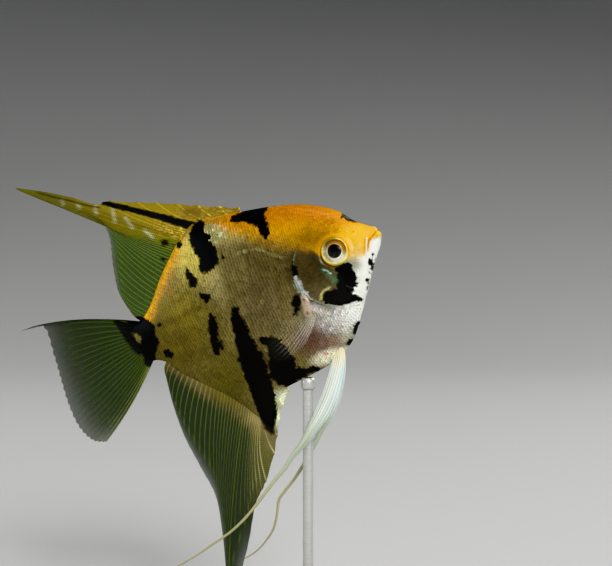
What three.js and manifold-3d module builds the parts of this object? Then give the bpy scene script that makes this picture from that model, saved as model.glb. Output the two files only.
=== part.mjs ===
// Freshwater angelfish (Pterophyllum scalare), life size, on a plain display stand.
// Millimetres, +Z up. The fish faces +X with its sagittal plane on y = 0, pitched head-up.
// Everything of the fish is drawn level, with x forward from the tail base and z up from the
// lateral axis, and one group turns it to its pose.

import * as THREE from 'three';
import { mergeVertices } from 'three/addons/utils/BufferGeometryUtils.js';
import Module from 'manifold-3d';

const wasm = await Module();
wasm.setup();

// ---- driving dimensions -------------------------------------------------------------------

const STANDARD_LENGTH = 80;          // snout to tail base
const PITCH = THREE.MathUtils.degToRad(24);
const TAIL_BASE_X = -44.5;           // where the tail base stands in the row's frame
const TAIL_BASE_Z = 93.5;
const GAP = 0.3;                     // parting cuts and contacts
const WIDE = 40;                     // half-depth of cutting prisms, past the fish on both sides

const STALK_END_X = -2.2;            // the flesh ends just past the tail base
const BODY_SECTIONS = 52;
const BODY_SIDES = 24;

// body outline stations, [x, z], snout to tail
const BACK = [
  [80, 0.2], [78.7, 2.3], [75.5, 5.3], [73.7, 7.1], [71.2, 10.6], [67.8, 13.7], [61.2, 17.5],
  [52.6, 20.7], [44, 23], [36, 24.9], [28.6, 25.9], [24.2, 24.4], [20.3, 21.9], [12.6, 15.8],
  [5, 8.6], [1.3, 6.6], [STALK_END_X, 6.2],
];
const BELLY = [
  [80, -0.6], [78.1, -3.4], [75.2, -6.6], [70.9, -11.9], [65.7, -18.4], [60, -24.8], [55.7, -27.1],
  [50, -28.7], [42, -29.4], [37, -29.6], [32.8, -31.6], [29.8, -35.2], [27, -38.6],
  [24.6, -35.4], [22.3, -31.4], [18, -25.4], [11.2, -18.2], [7.6, -14.2], [4, -8.8], [1, -6.9],
  [STALK_END_X, -6.4],
];
// height of the thickest line of the body, and half the thickness there, [x, value]
const AXIS = [[80, -0.2], [70, -1], [56, -2.5], [40, -2.5], [20, -1], [STALK_END_X, 0]];
const HALF_THICKNESS = [
  [80, 0.9], [78.4, 2.1], [75, 3.6], [70, 5.1], [64, 6.2], [56, 6.9], [46, 6.7], [34, 5.7],
  [20, 4], [8, 2.6], [1, 2], [STALK_END_X, 1.7],
];
const SNOUT_ROUND = 1.2;             // lengths over which the two ends of the body close
const STALK_ROUND = 1.6;
const LENS_BACK = 1.2;               // 1 is an ellipse, more is a sharper edge
const LENS_BELLY = 1.55;
const LENS_STARTS_X = 70;            // the head ahead of this is elliptical
const LENS_FULL_X = 50;

// eyes: one flattened ball a side
const EYE = { x: 66.3, z: 0.2, radius: 4.1, halfDepth: 3.2, centreY: 3.75 };
const EYE_SEGMENTS = [18, 10];

// parting lines on the flesh, [x, z]
const GILL_RIM = [
  [56.6, 5.2], [54.4, 2.2], [53.2, -1.4], [53.3, -4.8], [55, -9.2], [57.9, -12.3], [62, -14.4],
  [67.2, -15.2],
];
const GILL_FRONT = [[69, -13.4], [65.2, -10.6], [62.9, -6.6], [61.6, -1.6], [59.6, 3.6]];
const GILL_FLOOR_Y = 3.4;            // inner face of the gill covers
const GILL_PROUD = 0.25;             // how far the covers stand out of the flank
const NAPE_CUT = [[57.4, 26], [57.2, 14]];
const THROAT_CUT = [[67.6, -17.2], [66.5, -22]];
const JAW_CUT = [[84, 0.2], [80, -0.9], [76.6, -2.1], [74.3, -3.7], [73.3, -6.4], [71.8, -14]];
const STALK_CUT = [[9.6, 20], [8.4, 0], [10, -22]];

// fins: rays from the root inside the flesh to the margin, [rootX, rootZ, tipX, tipZ]
const DORSAL_RAYS = [
  [46, 21.2, 43.8, 24.3], [41, 22, 35, 28.6], [36, 22.8, 26, 33.3], [31.5, 23.4, 17, 37.8],
  [28.5, 23.3, 9.6, 41.3], [26.5, 22.8, 1.4, 44.8], [25, 22, -20.5, 59.3], [23, 20.8, -11, 50.5],
  [20.5, 19, -2.8, 44], [17, 16.4, 2, 39], [13, 13, 2.6, 32.6], [9.4, 9.6, 0.3, 25.4],
  [6.2, 6.4, -1.7, 17], [4.2, 5, -0.8, 10.4],
];
const ANAL_RAYS = [
  [38.5, -27.6, 36.4, -30.9], [35.5, -28.2, 32.7, -33.8], [32, -29.6, 29.6, -37.2],
  [29.4, -32, 27, -41.2], [27.4, -33.6, 24, -45.6], [26.4, -33.6, 18.2, -52.4],
  [25.4, -32.6, 12.3, -57.6], [24.2, -30.8, 4.6, -68.8], [22.8, -28.6, -8.4, -84],
  [21.2, -26.4, -3.4, -71.6], [19.2, -24, 0.4, -60.7], [17, -21.6, 2.8, -50.6],
  [14.5, -18.8, 1.8, -41], [11.5, -15.6, 0.6, -30.8], [8.6, -12.2, 0.9, -20.6],
  [6.2, -8.4, 2, -12.6],
];
const TAIL_RAYS = [
  [1, 5.6, -38.4, 18.8], [0.8, 4.2, -30.4, 17.4], [0.6, 2.3, -31, 8], [0.5, 0.8, -31.8, 0],
  [0.5, -0.8, -32, -8], [0.6, -2.4, -30.8, -15.6], [0.8, -3.8, -27.6, -21], [1, -4.6, -23.4, -23.2],
];
const PECTORAL_RAYS = [
  [55.6, -8.6, 41.6, -13], [55.4, -9.6, 38, -16.4], [55.1, -10.8, 38.4, -20.2],
  [54.8, -12, 42, -22.8], [54.5, -13.2, 46.4, -22.6],
];
const FIN_THICKNESS = { root: 1.1, margin: 0.6 };
const COLUMNS_PER_RAY = 2;
// rows along a ray; how far the first and the last ray bow between root and tip; the sideways
// sway of the margin and the number of half waves in it
const MEDIAN_FINS = {
  dorsal_fin: { rays: DORSAL_RAYS, rows: 7, bow: [1.2, 1.2], sway: 1.4, waves: 2 },
  anal_fin: { rays: ANAL_RAYS, rows: 7, bow: [-1.4, -1.4], sway: 1.6, waves: 2 },
  tail_fin: { rays: TAIL_RAYS, rows: 6, bow: [-2.2, 1.1], sway: 2.2, waves: 1.5 },
};
const PECTORAL_ROWS = 5;
const PECTORAL_SPREAD = 5.4;         // the tip stands this far out from the root
const PECTORAL_ROOT_Y = 5.2;

// pelvic fins: the middle line of each feeler, [x, y, z] on its own side, and its width
const PELVIC_RIGHT_LINE = [
  [56.5, 2, -23.5], [52.6, 3.2, -28.2], [49.4, 4, -34.4], [42.2, 4.8, -42.2], [35.6, 5.4, -47.2],
  [29.9, 5.8, -51.4], [21.7, 6, -55.7], [10.5, 6.2, -59.9], [-2.6, 6.2, -63.3], [-17, 6, -65.4],
];
const PELVIC_LEFT_LINE = [
  [56.5, 2, -23.5], [53, 3.2, -28.6], [48.8, 4, -34.8], [41.4, 4.8, -43], [34.3, 5.4, -48.2],
  [27.8, 5.8, -52.6], [21.3, 6, -56.9], [16.6, 6, -60.8], [11.4, 6, -67], [0.2, 5.4, -70.8],
];
const PELVIC_WIDTH = [
  [0, 2.6], [0.1, 4.6], [0.19, 5], [0.3, 3.4], [0.4, 1.8], [0.5, 1.3], [0.7, 1], [1, 0.8],
];
const PELVIC_THICKNESS = [[0, 1.6], [0.2, 1.3], [0.5, 1], [1, 0.8]];
const PELVIC_SIDES = 8;
const PELVIC_STEPS = 34;
const PELVIC_END_ROUND = 4;          // more closes the two ends more bluntly

// display stand
const BASE = { length: 86, width: 56, height: 8, corner: 8, bevel: 1 };
const BASE_BEVEL_STEPS = 1;
const BASE_CORNER_STEPS = 5;
const ROD = { x: 6.7, radius: 1.5, sides: 24, foot: 3, top: 76 };

const MERGE_TOLERANCE = 1e-4;        // vertices closer than this are one
const SLIVER_VOLUME = 1;             // a cut-off crumb smaller than this is dropped

// ---- curves -------------------------------------------------------------------------------

// A smooth function through [input, value] stations that never overshoots them.
function through(stations) {
  const s = [...stations].sort((a, b) => a[0] - b[0]);
  const slope = s.slice(1).map((p, i) => (p[1] - s[i][1]) / (p[0] - s[i][0]));
  const tangent = s.map((p, i) => {
    if (i === 0) return slope[0];
    if (i === s.length - 1) return slope[i - 1];
    if (slope[i - 1] * slope[i] <= 0) return 0;
    return 2 * slope[i - 1] * slope[i] / (slope[i - 1] + slope[i]);
  });
  return (input) => {
    const at = THREE.MathUtils.clamp(input, s[0][0], s[s.length - 1][0]);
    const found = s.findIndex((p) => p[0] > at);
    const i = found < 1 ? s.length - 2 : found - 1;
    const span = s[i + 1][0] - s[i][0];
    const t = (at - s[i][0]) / span;
    const rise = s[i + 1][1] - s[i][1];
    const start = tangent[i] * span;
    const end = tangent[i + 1] * span;
    return s[i][1] + t * (start + t * (3 * rise - 2 * start - end + t * (start + end - 2 * rise)));
  };
}

const backAt = through(BACK);
const bellyAt = through(BELLY);
const axisAt = through(AXIS);
const halfThicknessAt = through(HALF_THICKNESS);

// ---- solids: closed three.js geometry to a manifold solid and back --------------------------

function solidOf(geometry) {
  const bare = geometry.clone();
  bare.deleteAttribute('normal');
  bare.deleteAttribute('uv');
  const merged = mergeVertices(bare, MERGE_TOLERANCE);
  return new wasm.Manifold(new wasm.Mesh({
    numProp: 3,
    vertProperties: new Float32Array(merged.attributes.position.array),
    triVerts: new Uint32Array(merged.index.array),
  }));
}

function geometryOf(solid) {
  const mesh = solid.getMesh();
  const geometry = new THREE.BufferGeometry();
  geometry.setAttribute('position', new THREE.BufferAttribute(mesh.vertProperties, 3));
  geometry.setIndex(new THREE.BufferAttribute(mesh.triVerts, 1));
  return geometry;
}

// The largest of the separate lumps in a solid.
function mainLump(solid) {
  return solid.decompose().sort((a, b) => b.volume() - a.volume())[0];
}

// Move every vertex of a geometry by a function of its place.
function bend(geometry, place) {
  const points = geometry.attributes.position;
  const v = new THREE.Vector3();
  for (let i = 0; i < points.count; i += 1) {
    v.fromBufferAttribute(points, i);
    const p = place(v);
    points.setXYZ(i, p.x, p.y, p.z);
  }
  return geometry;
}

function mirrored(geometry) {
  const copy = geometry.clone().scale(1, -1, 1);
  const index = copy.index;
  for (let i = 0; i < index.count; i += 3) {
    const second = index.getX(i + 1);
    index.setX(i + 1, index.getX(i + 2));
    index.setX(i + 2, second);
  }
  return copy;
}

// ---- the whole body: a unit ball drawn out along the outline --------------------------------

function bodyPoint(unit, grow) {
  const along = Math.acos(THREE.MathUtils.clamp(unit.x, -1, 1)) / Math.PI;
  const length = STANDARD_LENGTH - STALK_END_X;
  const x = STANDARD_LENGTH - length * (1 - Math.cos(along * Math.PI)) / 2;
  const ring = Math.hypot(unit.y, unit.z) || 1;
  const up = unit.z / ring;
  const out = unit.y / ring;
  const axis = axisAt(x);
  const fromSnout = THREE.MathUtils.clamp((STANDARD_LENGTH - x) / SNOUT_ROUND, 0, 1);
  const fromStalk = THREE.MathUtils.clamp((x - STALK_END_X) / STALK_ROUND, 0, 1);
  const closing = Math.sqrt(1 - (1 - fromSnout) ** 2) * Math.sqrt(1 - (1 - fromStalk) ** 2);
  const reach = up > 0 ? backAt(x) - axis : axis - bellyAt(x);
  const lensed = THREE.MathUtils.smoothstep(LENS_STARTS_X - x, 0, LENS_STARTS_X - LENS_FULL_X);
  const lens = 1 + lensed * ((up > 0 ? LENS_BACK : LENS_BELLY) - 1);
  const half = halfThicknessAt(x) * closing + grow;
  return new THREE.Vector3(
    x + grow * unit.x,
    Math.sign(out) * half * Math.abs(out) ** lens,
    axis + up * (reach * closing + grow),
  );
}

function bodySolid(grow) {
  const ball = new THREE.SphereGeometry(1, BODY_SIDES, BODY_SECTIONS);
  ball.rotateZ(-Math.PI / 2);
  return solidOf(bend(ball, (unit) => bodyPoint(unit, grow)));
}

// ---- cutting tools ------------------------------------------------------------------------

// A prism across the fish from an outline of [x, z] points, between two y values.
function prism(outline, fromY, toY) {
  const shape = new THREE.Shape(outline.map(([x, z]) => new THREE.Vector2(x, z)));
  const block = new THREE.ExtrudeGeometry(shape, { depth: toY - fromY, bevelEnabled: false });
  block.rotateX(Math.PI / 2);
  block.translate(0, toY, 0);
  return solidOf(block);
}

// The points of an open line moved sideways by a distance, to its left.
function offsetLine(line, distance) {
  return line.map((p, i) => {
    const before = line[Math.max(i - 1, 0)];
    const after = line[Math.min(i + 1, line.length - 1)];
    const dx = after[0] - before[0];
    const dz = after[1] - before[1];
    const size = Math.hypot(dx, dz);
    return [p[0] - distance * dz / size, p[1] + distance * dx / size];
  });
}

// A blade as thick as the parting gap, through an open line of [x, z] points.
function blade(line) {
  const left = offsetLine(line, GAP / 2);
  const right = offsetLine(line, -GAP / 2).reverse();
  return prism([...left, ...right], -WIDE, WIDE);
}

// An anticlockwise closed outline moved outward, for a cover and the pocket it lies in.
function swollen(outline, distance) {
  return outline.map((p, i) => {
    const before = outline[(i + outline.length - 1) % outline.length];
    const after = outline[(i + 1) % outline.length];
    const dx = after[0] - before[0];
    const dz = after[1] - before[1];
    const size = Math.hypot(dx, dz);
    return [p[0] + distance * dz / size, p[1] - distance * dx / size];
  });
}

// ---- flesh: the body parted into its named lengths --------------------------------------------

function eyeBall(grow) {
  const ball = new THREE.SphereGeometry(1, EYE_SEGMENTS[0], EYE_SEGMENTS[1]);
  ball.rotateX(Math.PI / 2);
  ball.scale(EYE.radius + grow, EYE.halfDepth + grow, EYE.radius + grow);
  ball.translate(EYE.x, -EYE.centreY, EYE.z);
  return ball;
}

function gillCover(side) {
  const outline = swollen([...GILL_RIM, ...GILL_FRONT], -GAP / 2);
  const [from, to] = side < 0 ? [-WIDE, -GILL_FLOOR_Y] : [GILL_FLOOR_Y, WIDE];
  return mainLump(bodySolid(GILL_PROUD).intersect(prism(outline, from, to)));
}

function gillPockets() {
  const outline = swollen([...GILL_RIM, ...GILL_FRONT], GAP / 2);
  const inner = GILL_FLOOR_Y - GAP;
  return prism(outline, -WIDE, -inner).add(prism(outline, inner, WIDE));
}

function fleshParts() {
  const whole = bodySolid(0);
  const neckLine = [...NAPE_CUT, ...GILL_RIM, ...THROAT_CUT];
  const lengths = whole.subtract(blade(neckLine)).subtract(blade(STALK_CUT)).subtract(blade(JAW_CUT));
  const lumps = lengths.decompose().filter((lump) => lump.volume() > SLIVER_VOLUME);
  const middleX = (lump) => {
    const box = lump.boundingBox();
    return (box.min[0] + box.max[0]) / 2;
  };
  const [stalk, trunk, head, jaw] = lumps.sort((a, b) => middleX(a) - middleX(b));
  const sockets = solidOf(eyeBall(GAP)).add(solidOf(mirrored(eyeBall(GAP))));
  const face = head.subtract(sockets).subtract(gillPockets());
  return {
    head: mainLump(face),
    lower_jaw: jaw,
    trunk,
    tail_stalk: stalk,
    gill_cover_right: gillCover(-1),
    gill_cover_left: gillCover(1),
  };
}

// ---- fins ---------------------------------------------------------------------------------

// A thin curved slab over a set of rays; sideways gives its y from how far across and along it is.
function finSlab(rays, rows, bow, sideways) {
  const roots = new THREE.SplineCurve(rays.map((r) => new THREE.Vector2(r[0], r[1])));
  const tips = new THREE.SplineCurve(rays.map((r) => new THREE.Vector2(r[2], r[3])));
  const slab = new THREE.BoxGeometry(1, 1, 1, (rays.length - 1) * COLUMNS_PER_RAY, rows, 1);
  const spread = roots.getPoint(1).sub(roots.getPoint(0));
  const middle = tips.getPoint(0.5).sub(roots.getPoint(0.5));
  const hand = Math.sign(spread.y * middle.x - spread.x * middle.y);
  return bend(slab, (p) => {
    const across = p.x + 0.5;
    const along = p.y + 0.5;
    const root = roots.getPoint(across);
    const tip = tips.getPoint(across);
    const ray = tip.clone().sub(root);
    const rise = THREE.MathUtils.lerp(bow[0], bow[1], across);
    const arch = 4 * along * (1 - along) * rise / Math.max(ray.length(), 1);
    const thickness = THREE.MathUtils.lerp(FIN_THICKNESS.root, FIN_THICKNESS.margin, along);
    const x = root.x + ray.x * along - ray.y * arch;
    const z = root.y + ray.y * along + ray.x * arch;
    return new THREE.Vector3(x, sideways(across, along) + hand * p.z * thickness, z);
  });
}

function medianFin({ rays, rows, bow, sway, waves }) {
  const wave = (across, along) => sway * along ** 2 * Math.sin(waves * Math.PI * across);
  const slab = solidOf(finSlab(rays, rows, bow, wave));
  return mainLump(slab.subtract(bodySolid(GAP)));
}

function pectoralFin(side) {
  const outward = (across, along) => -(PECTORAL_ROOT_Y + PECTORAL_SPREAD * along);
  const slab = finSlab(PECTORAL_RAYS, PECTORAL_ROWS, [0, 0], outward);
  const cover = solidOf(side < 0 ? slab : mirrored(slab));
  return mainLump(cover.subtract(bodySolid(GAP + GILL_PROUD)));
}

// A feeler: a ball drawn out along its middle line, flat across the fish.
function pelvicFin(line, side) {
  const middle = new THREE.CatmullRomCurve3(line.map(([x, y, z]) => new THREE.Vector3(x, side * y, z)));
  const widthAt = through(PELVIC_WIDTH);
  const thicknessAt = through(PELVIC_THICKNESS);
  const ball = new THREE.SphereGeometry(1, PELVIC_SIDES, PELVIC_STEPS);
  ball.rotateZ(-Math.PI / 2);
  return bend(ball, (unit) => {
    const along = 1 - Math.acos(THREE.MathUtils.clamp(unit.x, -1, 1)) / Math.PI;
    const centre = middle.getPointAt(1 - along);
    const ahead = middle.getTangentAt(1 - along);
    const ring = Math.hypot(unit.y, unit.z) || 1;
    const closing = Math.min(1, PELVIC_END_ROUND * Math.sqrt(along * (1 - along)));
    const broad = new THREE.Vector3(-ahead.z, 0, ahead.x).normalize();
    const thin = new THREE.Vector3().crossVectors(ahead, broad).normalize();
    const across = closing * widthAt(1 - along) / 2 * unit.z / ring;
    const deep = closing * thicknessAt(1 - along) / 2 * unit.y / ring;
    return centre.clone().addScaledVector(broad, across).addScaledVector(thin, deep);
  });
}

// ---- stand --------------------------------------------------------------------------------

function roundedRectangle(length, width, corner) {
  const shape = new THREE.Shape();
  const x = length / 2 - corner;
  const y = width / 2 - corner;
  shape.absarc(x, y, corner, 0, Math.PI / 2, false);
  shape.absarc(-x, y, corner, Math.PI / 2, Math.PI, false);
  shape.absarc(-x, -y, corner, Math.PI, 1.5 * Math.PI, false);
  shape.absarc(x, -y, corner, 1.5 * Math.PI, 2 * Math.PI, false);
  return shape;
}

function standBase() {
  const outline = roundedRectangle(BASE.length - 2 * BASE.bevel, BASE.width - 2 * BASE.bevel, BASE.corner);
  const plate = new THREE.ExtrudeGeometry(outline, {
    depth: BASE.height - 2 * BASE.bevel,
    bevelThickness: BASE.bevel,
    bevelSize: BASE.bevel,
    bevelSegments: BASE_BEVEL_STEPS,
    curveSegments: BASE_CORNER_STEPS,
  });
  plate.translate(0, 0, BASE.bevel);
  const hole = rodCylinder(ROD.radius + GAP, BASE.height - ROD.foot - GAP, BASE.height + 1);
  return solidOf(plate).subtract(solidOf(hole));
}

function rodCylinder(radius, fromZ, toZ) {
  const rod = new THREE.CylinderGeometry(radius, radius, toZ - fromZ, ROD.sides);
  rod.rotateX(Math.PI / 2);
  rod.translate(ROD.x, 0, (fromZ + toZ) / 2);
  return rod;
}

function standRod() {
  const turn = new THREE.Matrix4().makeRotationY(-PITCH).setPosition(TAIL_BASE_X, 0, TAIL_BASE_Z);
  const bodyHere = bodySolid(GAP).transform(turn.toArray());
  const rod = solidOf(rodCylinder(ROD.radius, BASE.height - ROD.foot, BASE.height + ROD.top));
  const below = rod.subtract(bodyHere).decompose();
  return below.sort((a, b) => a.boundingBox().min[2] - b.boundingBox().min[2])[0];
}

// ---- placing and naming ---------------------------------------------------------------------

const COLOURS = {
  flesh: { color: 0xc8a35a, roughness: 0.35, metalness: 0.05 },
  fin: { color: 0xb9ac7a, roughness: 0.45, metalness: 0 },
  pelvic: { color: 0xe9e6d8, roughness: 0.45, metalness: 0 },
  eye: { color: 0xd9a62b, roughness: 0.1, metalness: 0.1 },
  base: { color: 0x2b2b2d, roughness: 0.5, metalness: 0 },
  rod: { color: 0x9a9a9c, roughness: 0.3, metalness: 1 },
};

function node(name, geometry, finish) {
  const mesh = new THREE.Mesh(geometry, new THREE.MeshStandardMaterial(COLOURS[finish]));
  mesh.name = name;
  return mesh;
}

const fish = new THREE.Group();
fish.rotation.y = -PITCH;
fish.position.set(TAIL_BASE_X, 0, TAIL_BASE_Z);

for (const [name, solid] of Object.entries(fleshParts())) {
  fish.add(node(name, geometryOf(solid), 'flesh'));
}

fish.add(node('eye_right', eyeBall(0), 'eye'));
fish.add(node('eye_left', mirrored(eyeBall(0)), 'eye'));

for (const [name, fin] of Object.entries(MEDIAN_FINS)) {
  fish.add(node(name, geometryOf(medianFin(fin)), 'fin'));
}

for (const [name, side, line] of [['right', -1, PELVIC_RIGHT_LINE], ['left', 1, PELVIC_LEFT_LINE]]) {
  fish.add(node(`pectoral_fin_${name}`, geometryOf(pectoralFin(side)), 'fin'));
  const feeler = solidOf(pelvicFin(line, side)).subtract(bodySolid(GAP));
  fish.add(node(`pelvic_fin_${name}`, geometryOf(mainLump(feeler)), 'pelvic'));
}

const model = new THREE.Group();
model.add(fish);
model.add(node('stand_base', geometryOf(standBase()), 'base'));
model.add(node('stand_rod', geometryOf(standRod()), 'rod'));

export default model;
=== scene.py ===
"""A koi-marked freshwater angelfish on its display stand: skin, scales, fins, eyes, stand, studio."""

import logging
import math
from dataclasses import dataclass, field
from enum import Enum, IntEnum
from typing import Callable, Sequence

import bpy
import numpy as np
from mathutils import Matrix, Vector


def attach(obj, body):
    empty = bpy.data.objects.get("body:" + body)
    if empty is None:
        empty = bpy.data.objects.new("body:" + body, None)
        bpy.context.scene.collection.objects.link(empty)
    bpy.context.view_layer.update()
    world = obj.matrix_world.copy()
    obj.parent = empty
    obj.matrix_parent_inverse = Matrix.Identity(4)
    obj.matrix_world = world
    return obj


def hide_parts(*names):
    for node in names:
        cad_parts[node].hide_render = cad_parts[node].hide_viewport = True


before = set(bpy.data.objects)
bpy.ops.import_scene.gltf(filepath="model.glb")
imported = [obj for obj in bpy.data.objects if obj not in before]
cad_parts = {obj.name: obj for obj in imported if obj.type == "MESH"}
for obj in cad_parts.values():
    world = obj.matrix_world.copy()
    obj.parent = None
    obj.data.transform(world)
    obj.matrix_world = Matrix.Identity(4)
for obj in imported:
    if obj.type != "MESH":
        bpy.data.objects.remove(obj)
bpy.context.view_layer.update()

logging.basicConfig(level=logging.INFO, format="%(message)s")
LOG = logging.getLogger("angelfish")

MM = 0.001
ROOT = "root"
BAKE_MAP = "OFBake"
BAKE_EDGE = 0.02
NOISE_SPAN = (0.3, 0.7)
WATER_FILM = 1.34

Array = np.ndarray
Pair = tuple[float, float]
Colour = tuple[float, float, float]
Layer = tuple[Colour, Array]
Line = Sequence[Sequence[float]]
Curve = Callable[[Array], Array]
Socket = bpy.types.NodeSocket
Material = bpy.types.Material
Piece = bpy.types.Object


class Side(Enum):
    """The two flanks; the value is the sign of y."""

    RIGHT = -1
    LEFT = 1

    @property
    def word(self) -> str:
        """The flank's name as pieces and nodes have it."""
        return self.name.lower()


# ---- small mathematics ----


def smooth(low: float, high: float, value: Array) -> Array:
    """A soft step from 0 at low to 1 at high, which may be less than low for a falling one."""
    t = np.clip((np.asarray(value, float) - low) / (high - low), 0.0, 1.0)
    return t * t * (3.0 - 2.0 * t)


def bump(distance: Array, width: float) -> Array:
    """A bell: 1 at no distance, about a third at its width."""
    return np.exp(-((np.asarray(distance, float) / width) ** 2))


def through(stations: Sequence[Pair]) -> Curve:
    """A smooth function through stations that never overshoots them.

    Args:
        stations: (input, value) pairs in any order.

    Returns:
        A function of an array of inputs, held constant past the ends.
    """
    ordered = sorted(stations)
    xs = np.array([s[0] for s in ordered], float)
    ys = np.array([s[1] for s in ordered], float)
    slope = np.diff(ys) / np.diff(xs)
    before, after = slope[:-1], slope[1:]
    agree = before * after > 0
    total = np.where(agree, before + after, 1.0)
    inner = np.where(agree, 2.0 * before * after / total, 0.0)
    tangent = np.concatenate([slope[:1], inner, slope[-1:]])

    def value(x: Array) -> Array:
        """Finds the smooth value.

        Args:
            x: the inputs.

        Returns:
            The value at each.
        """
        at = np.clip(np.asarray(x, float), xs[0], xs[-1])
        i = np.clip(np.searchsorted(xs, at, side="right") - 1, 0, len(xs) - 2)
        span = xs[i + 1] - xs[i]
        t = (at - xs[i]) / span
        rise = ys[i + 1] - ys[i]
        start, end = tangent[i] * span, tangent[i + 1] * span
        return ys[i] + t * (start + t * (3 * rise - 2 * start - end + t * (start + end - 2 * rise)))

    return value


def spline(points: Array, amount: Array) -> Array:
    """A Catmull-Rom curve through points, spaced evenly in its parameter.

    Args:
        points: one row for each point, of any width.
        amount: parameters from 0 to 1, an array of any shape.

    Returns:
        The places, shaped like amount with the points' width added.
    """
    p = np.asarray(points, float)
    s = np.clip(amount, 0.0, 1.0) * (len(p) - 1)
    i = np.minimum(np.floor(s).astype(int), len(p) - 2)
    t = (s - i)[..., None]
    a, b = p[np.maximum(i - 1, 0)], p[i]
    c, d = p[i + 1], p[np.minimum(i + 2, len(p) - 1)]
    v0, v1 = (c - a) / 2, (d - b) / 2
    return (2 * b - 2 * c + v0 + v1) * t**3 + (-3 * b + 3 * c - 2 * v0 - v1) * t**2 + v0 * t + b


def scatter(i: Array, j: Array, seed: float) -> Array:
    """Numbers from 0 to 1 that look random but depend only on i, j and seed."""
    h = np.sin(i * 127.1 + j * 311.7 + seed * 74.7) * 43758.5453
    return h - np.floor(h)


def grain(x: Array, z: Array, size: float, seed: float) -> Array:
    """A smooth random field over a plane.

    Args:
        x: places along the plane.
        z: places up the plane.
        size: the size of its lumps.
        seed: picks one of many fields.

    Returns:
        Numbers from -1 to 1.
    """
    u, v = np.asarray(x, float) / size, np.asarray(z, float) / size
    i, j = np.floor(u), np.floor(v)
    fu, fv = u - i, v - j
    fu, fv = fu * fu * (3 - 2 * fu), fv * fv * (3 - 2 * fv)
    low = scatter(i, j, seed) * (1 - fu) + scatter(i + 1, j, seed) * fu
    high = scatter(i, j + 1, seed) * (1 - fu) + scatter(i + 1, j + 1, seed) * fu
    return 2 * (low * (1 - fv) + high * fv) - 1


def path_distance(x: Array, z: Array, path: Line) -> tuple[Array, Array, Array]:
    """How far points lie from an open line in the fish's plane.

    Args:
        x: places along the fish.
        z: places up the fish.
        path: the line's (x, z) or (x, z, radius) points, in order.

    Returns:
        The distance, less the radius where the points have one, the side (positive to the
        line's left) and the share of the line's segments passed at the nearest point.
    """
    best = np.full(np.shape(x), np.inf)
    side = np.zeros(np.shape(x))
    passed = np.zeros(np.shape(x))
    count = len(path) - 1
    for k, (a, b) in enumerate(zip(path[:-1], path[1:])):
        dx, dz = b[0] - a[0], b[1] - a[1]
        t = np.clip(((x - a[0]) * dx + (z - a[1]) * dz) / (dx * dx + dz * dz), 0.0, 1.0)
        away = np.hypot(x - a[0] - t * dx, z - a[1] - t * dz)
        if len(a) > 2:
            away = away - (a[2] + t * (b[2] - a[2]))
        nearer = away < best
        cross = dx * (z - a[1]) - dz * (x - a[0])
        best = np.where(nearer, away, best)
        side = np.where(nearer, np.sign(cross), side)
        passed = np.where(nearer, (k + t) / count, passed)
    return best, side, passed


def normalised(vectors: Array) -> Array:
    """Vectors of length one, along the last axis."""
    return vectors / np.maximum(np.linalg.norm(vectors, axis=-1, keepdims=True), 1e-9)


def linear(colour: Colour) -> Array:
    """A screen colour as linear light."""
    c = np.asarray(colour, float)
    return np.where(c <= 0.04045, c / 12.92, ((c + 0.055) / 1.055) ** 2.4)


def blend(base: Array, colour: Colour, weight: Array) -> Array:
    """Lays a screen colour over linear paint."""
    return base + (linear(colour) - base) * np.clip(weight, 0, 1)[..., None]


def layered(paint: Array, layers: Sequence[Layer]) -> Array:
    """Lays screen colours over linear paint.

    Args:
        paint: the linear colours below.
        layers: each colour with its weight, in the order they are laid.

    Returns:
        The linear colours on top.
    """
    for colour, weight in layers:
        paint = blend(paint, colour, weight)
    return paint


def flat(colour: Colour, like: Array) -> Array:
    """A screen colour as linear paint, one for each place."""
    return np.broadcast_to(linear(colour), np.shape(like) + (3,)).copy()


def oval(x: Array, z: Array, at: Pair, half: Pair) -> Array:
    """How far places lie from an upright oval's middle: 1 on its outline."""
    return np.hypot((x - at[0]) / half[0], (z - at[1]) / half[1])


def faded(passed: Array, start: float, end: float) -> Array:
    """1 along a line, falling to 0 before the share start and past the share end of it."""
    return smooth(0, start, passed) * smooth(1, end, passed)


# ---- pose and mesh making ----


@dataclass(frozen=True)
class Pose:
    """Turns the fish's own level frame, in millimetres, into the row's, in metres."""

    pitch: float = math.radians(24.0)
    tail_base_x: float = -44.5
    tail_base_z: float = 93.5

    def turned(self, v: Array) -> Array:
        """Directions of the fish's frame in the row's."""
        c, s = math.cos(self.pitch), math.sin(self.pitch)
        return np.stack([v[..., 0] * c - v[..., 2] * s, v[..., 1], v[..., 0] * s + v[..., 2] * c], -1)

    def placed(self, points: Array) -> Array:
        """Points of the fish's frame in the row's, in metres."""
        return (self.turned(points) + np.array([self.tail_base_x, 0.0, self.tail_base_z])) * MM


POSE = Pose()


def shown(name: str, data: bpy.types.ID) -> Piece:
    """Puts an object into the scene.

    Args:
        name: its name.
        data: its mesh, light or camera.

    Returns:
        The object.
    """
    made = bpy.data.objects.new(name, data)
    bpy.context.scene.collection.objects.link(made)
    return made


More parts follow.
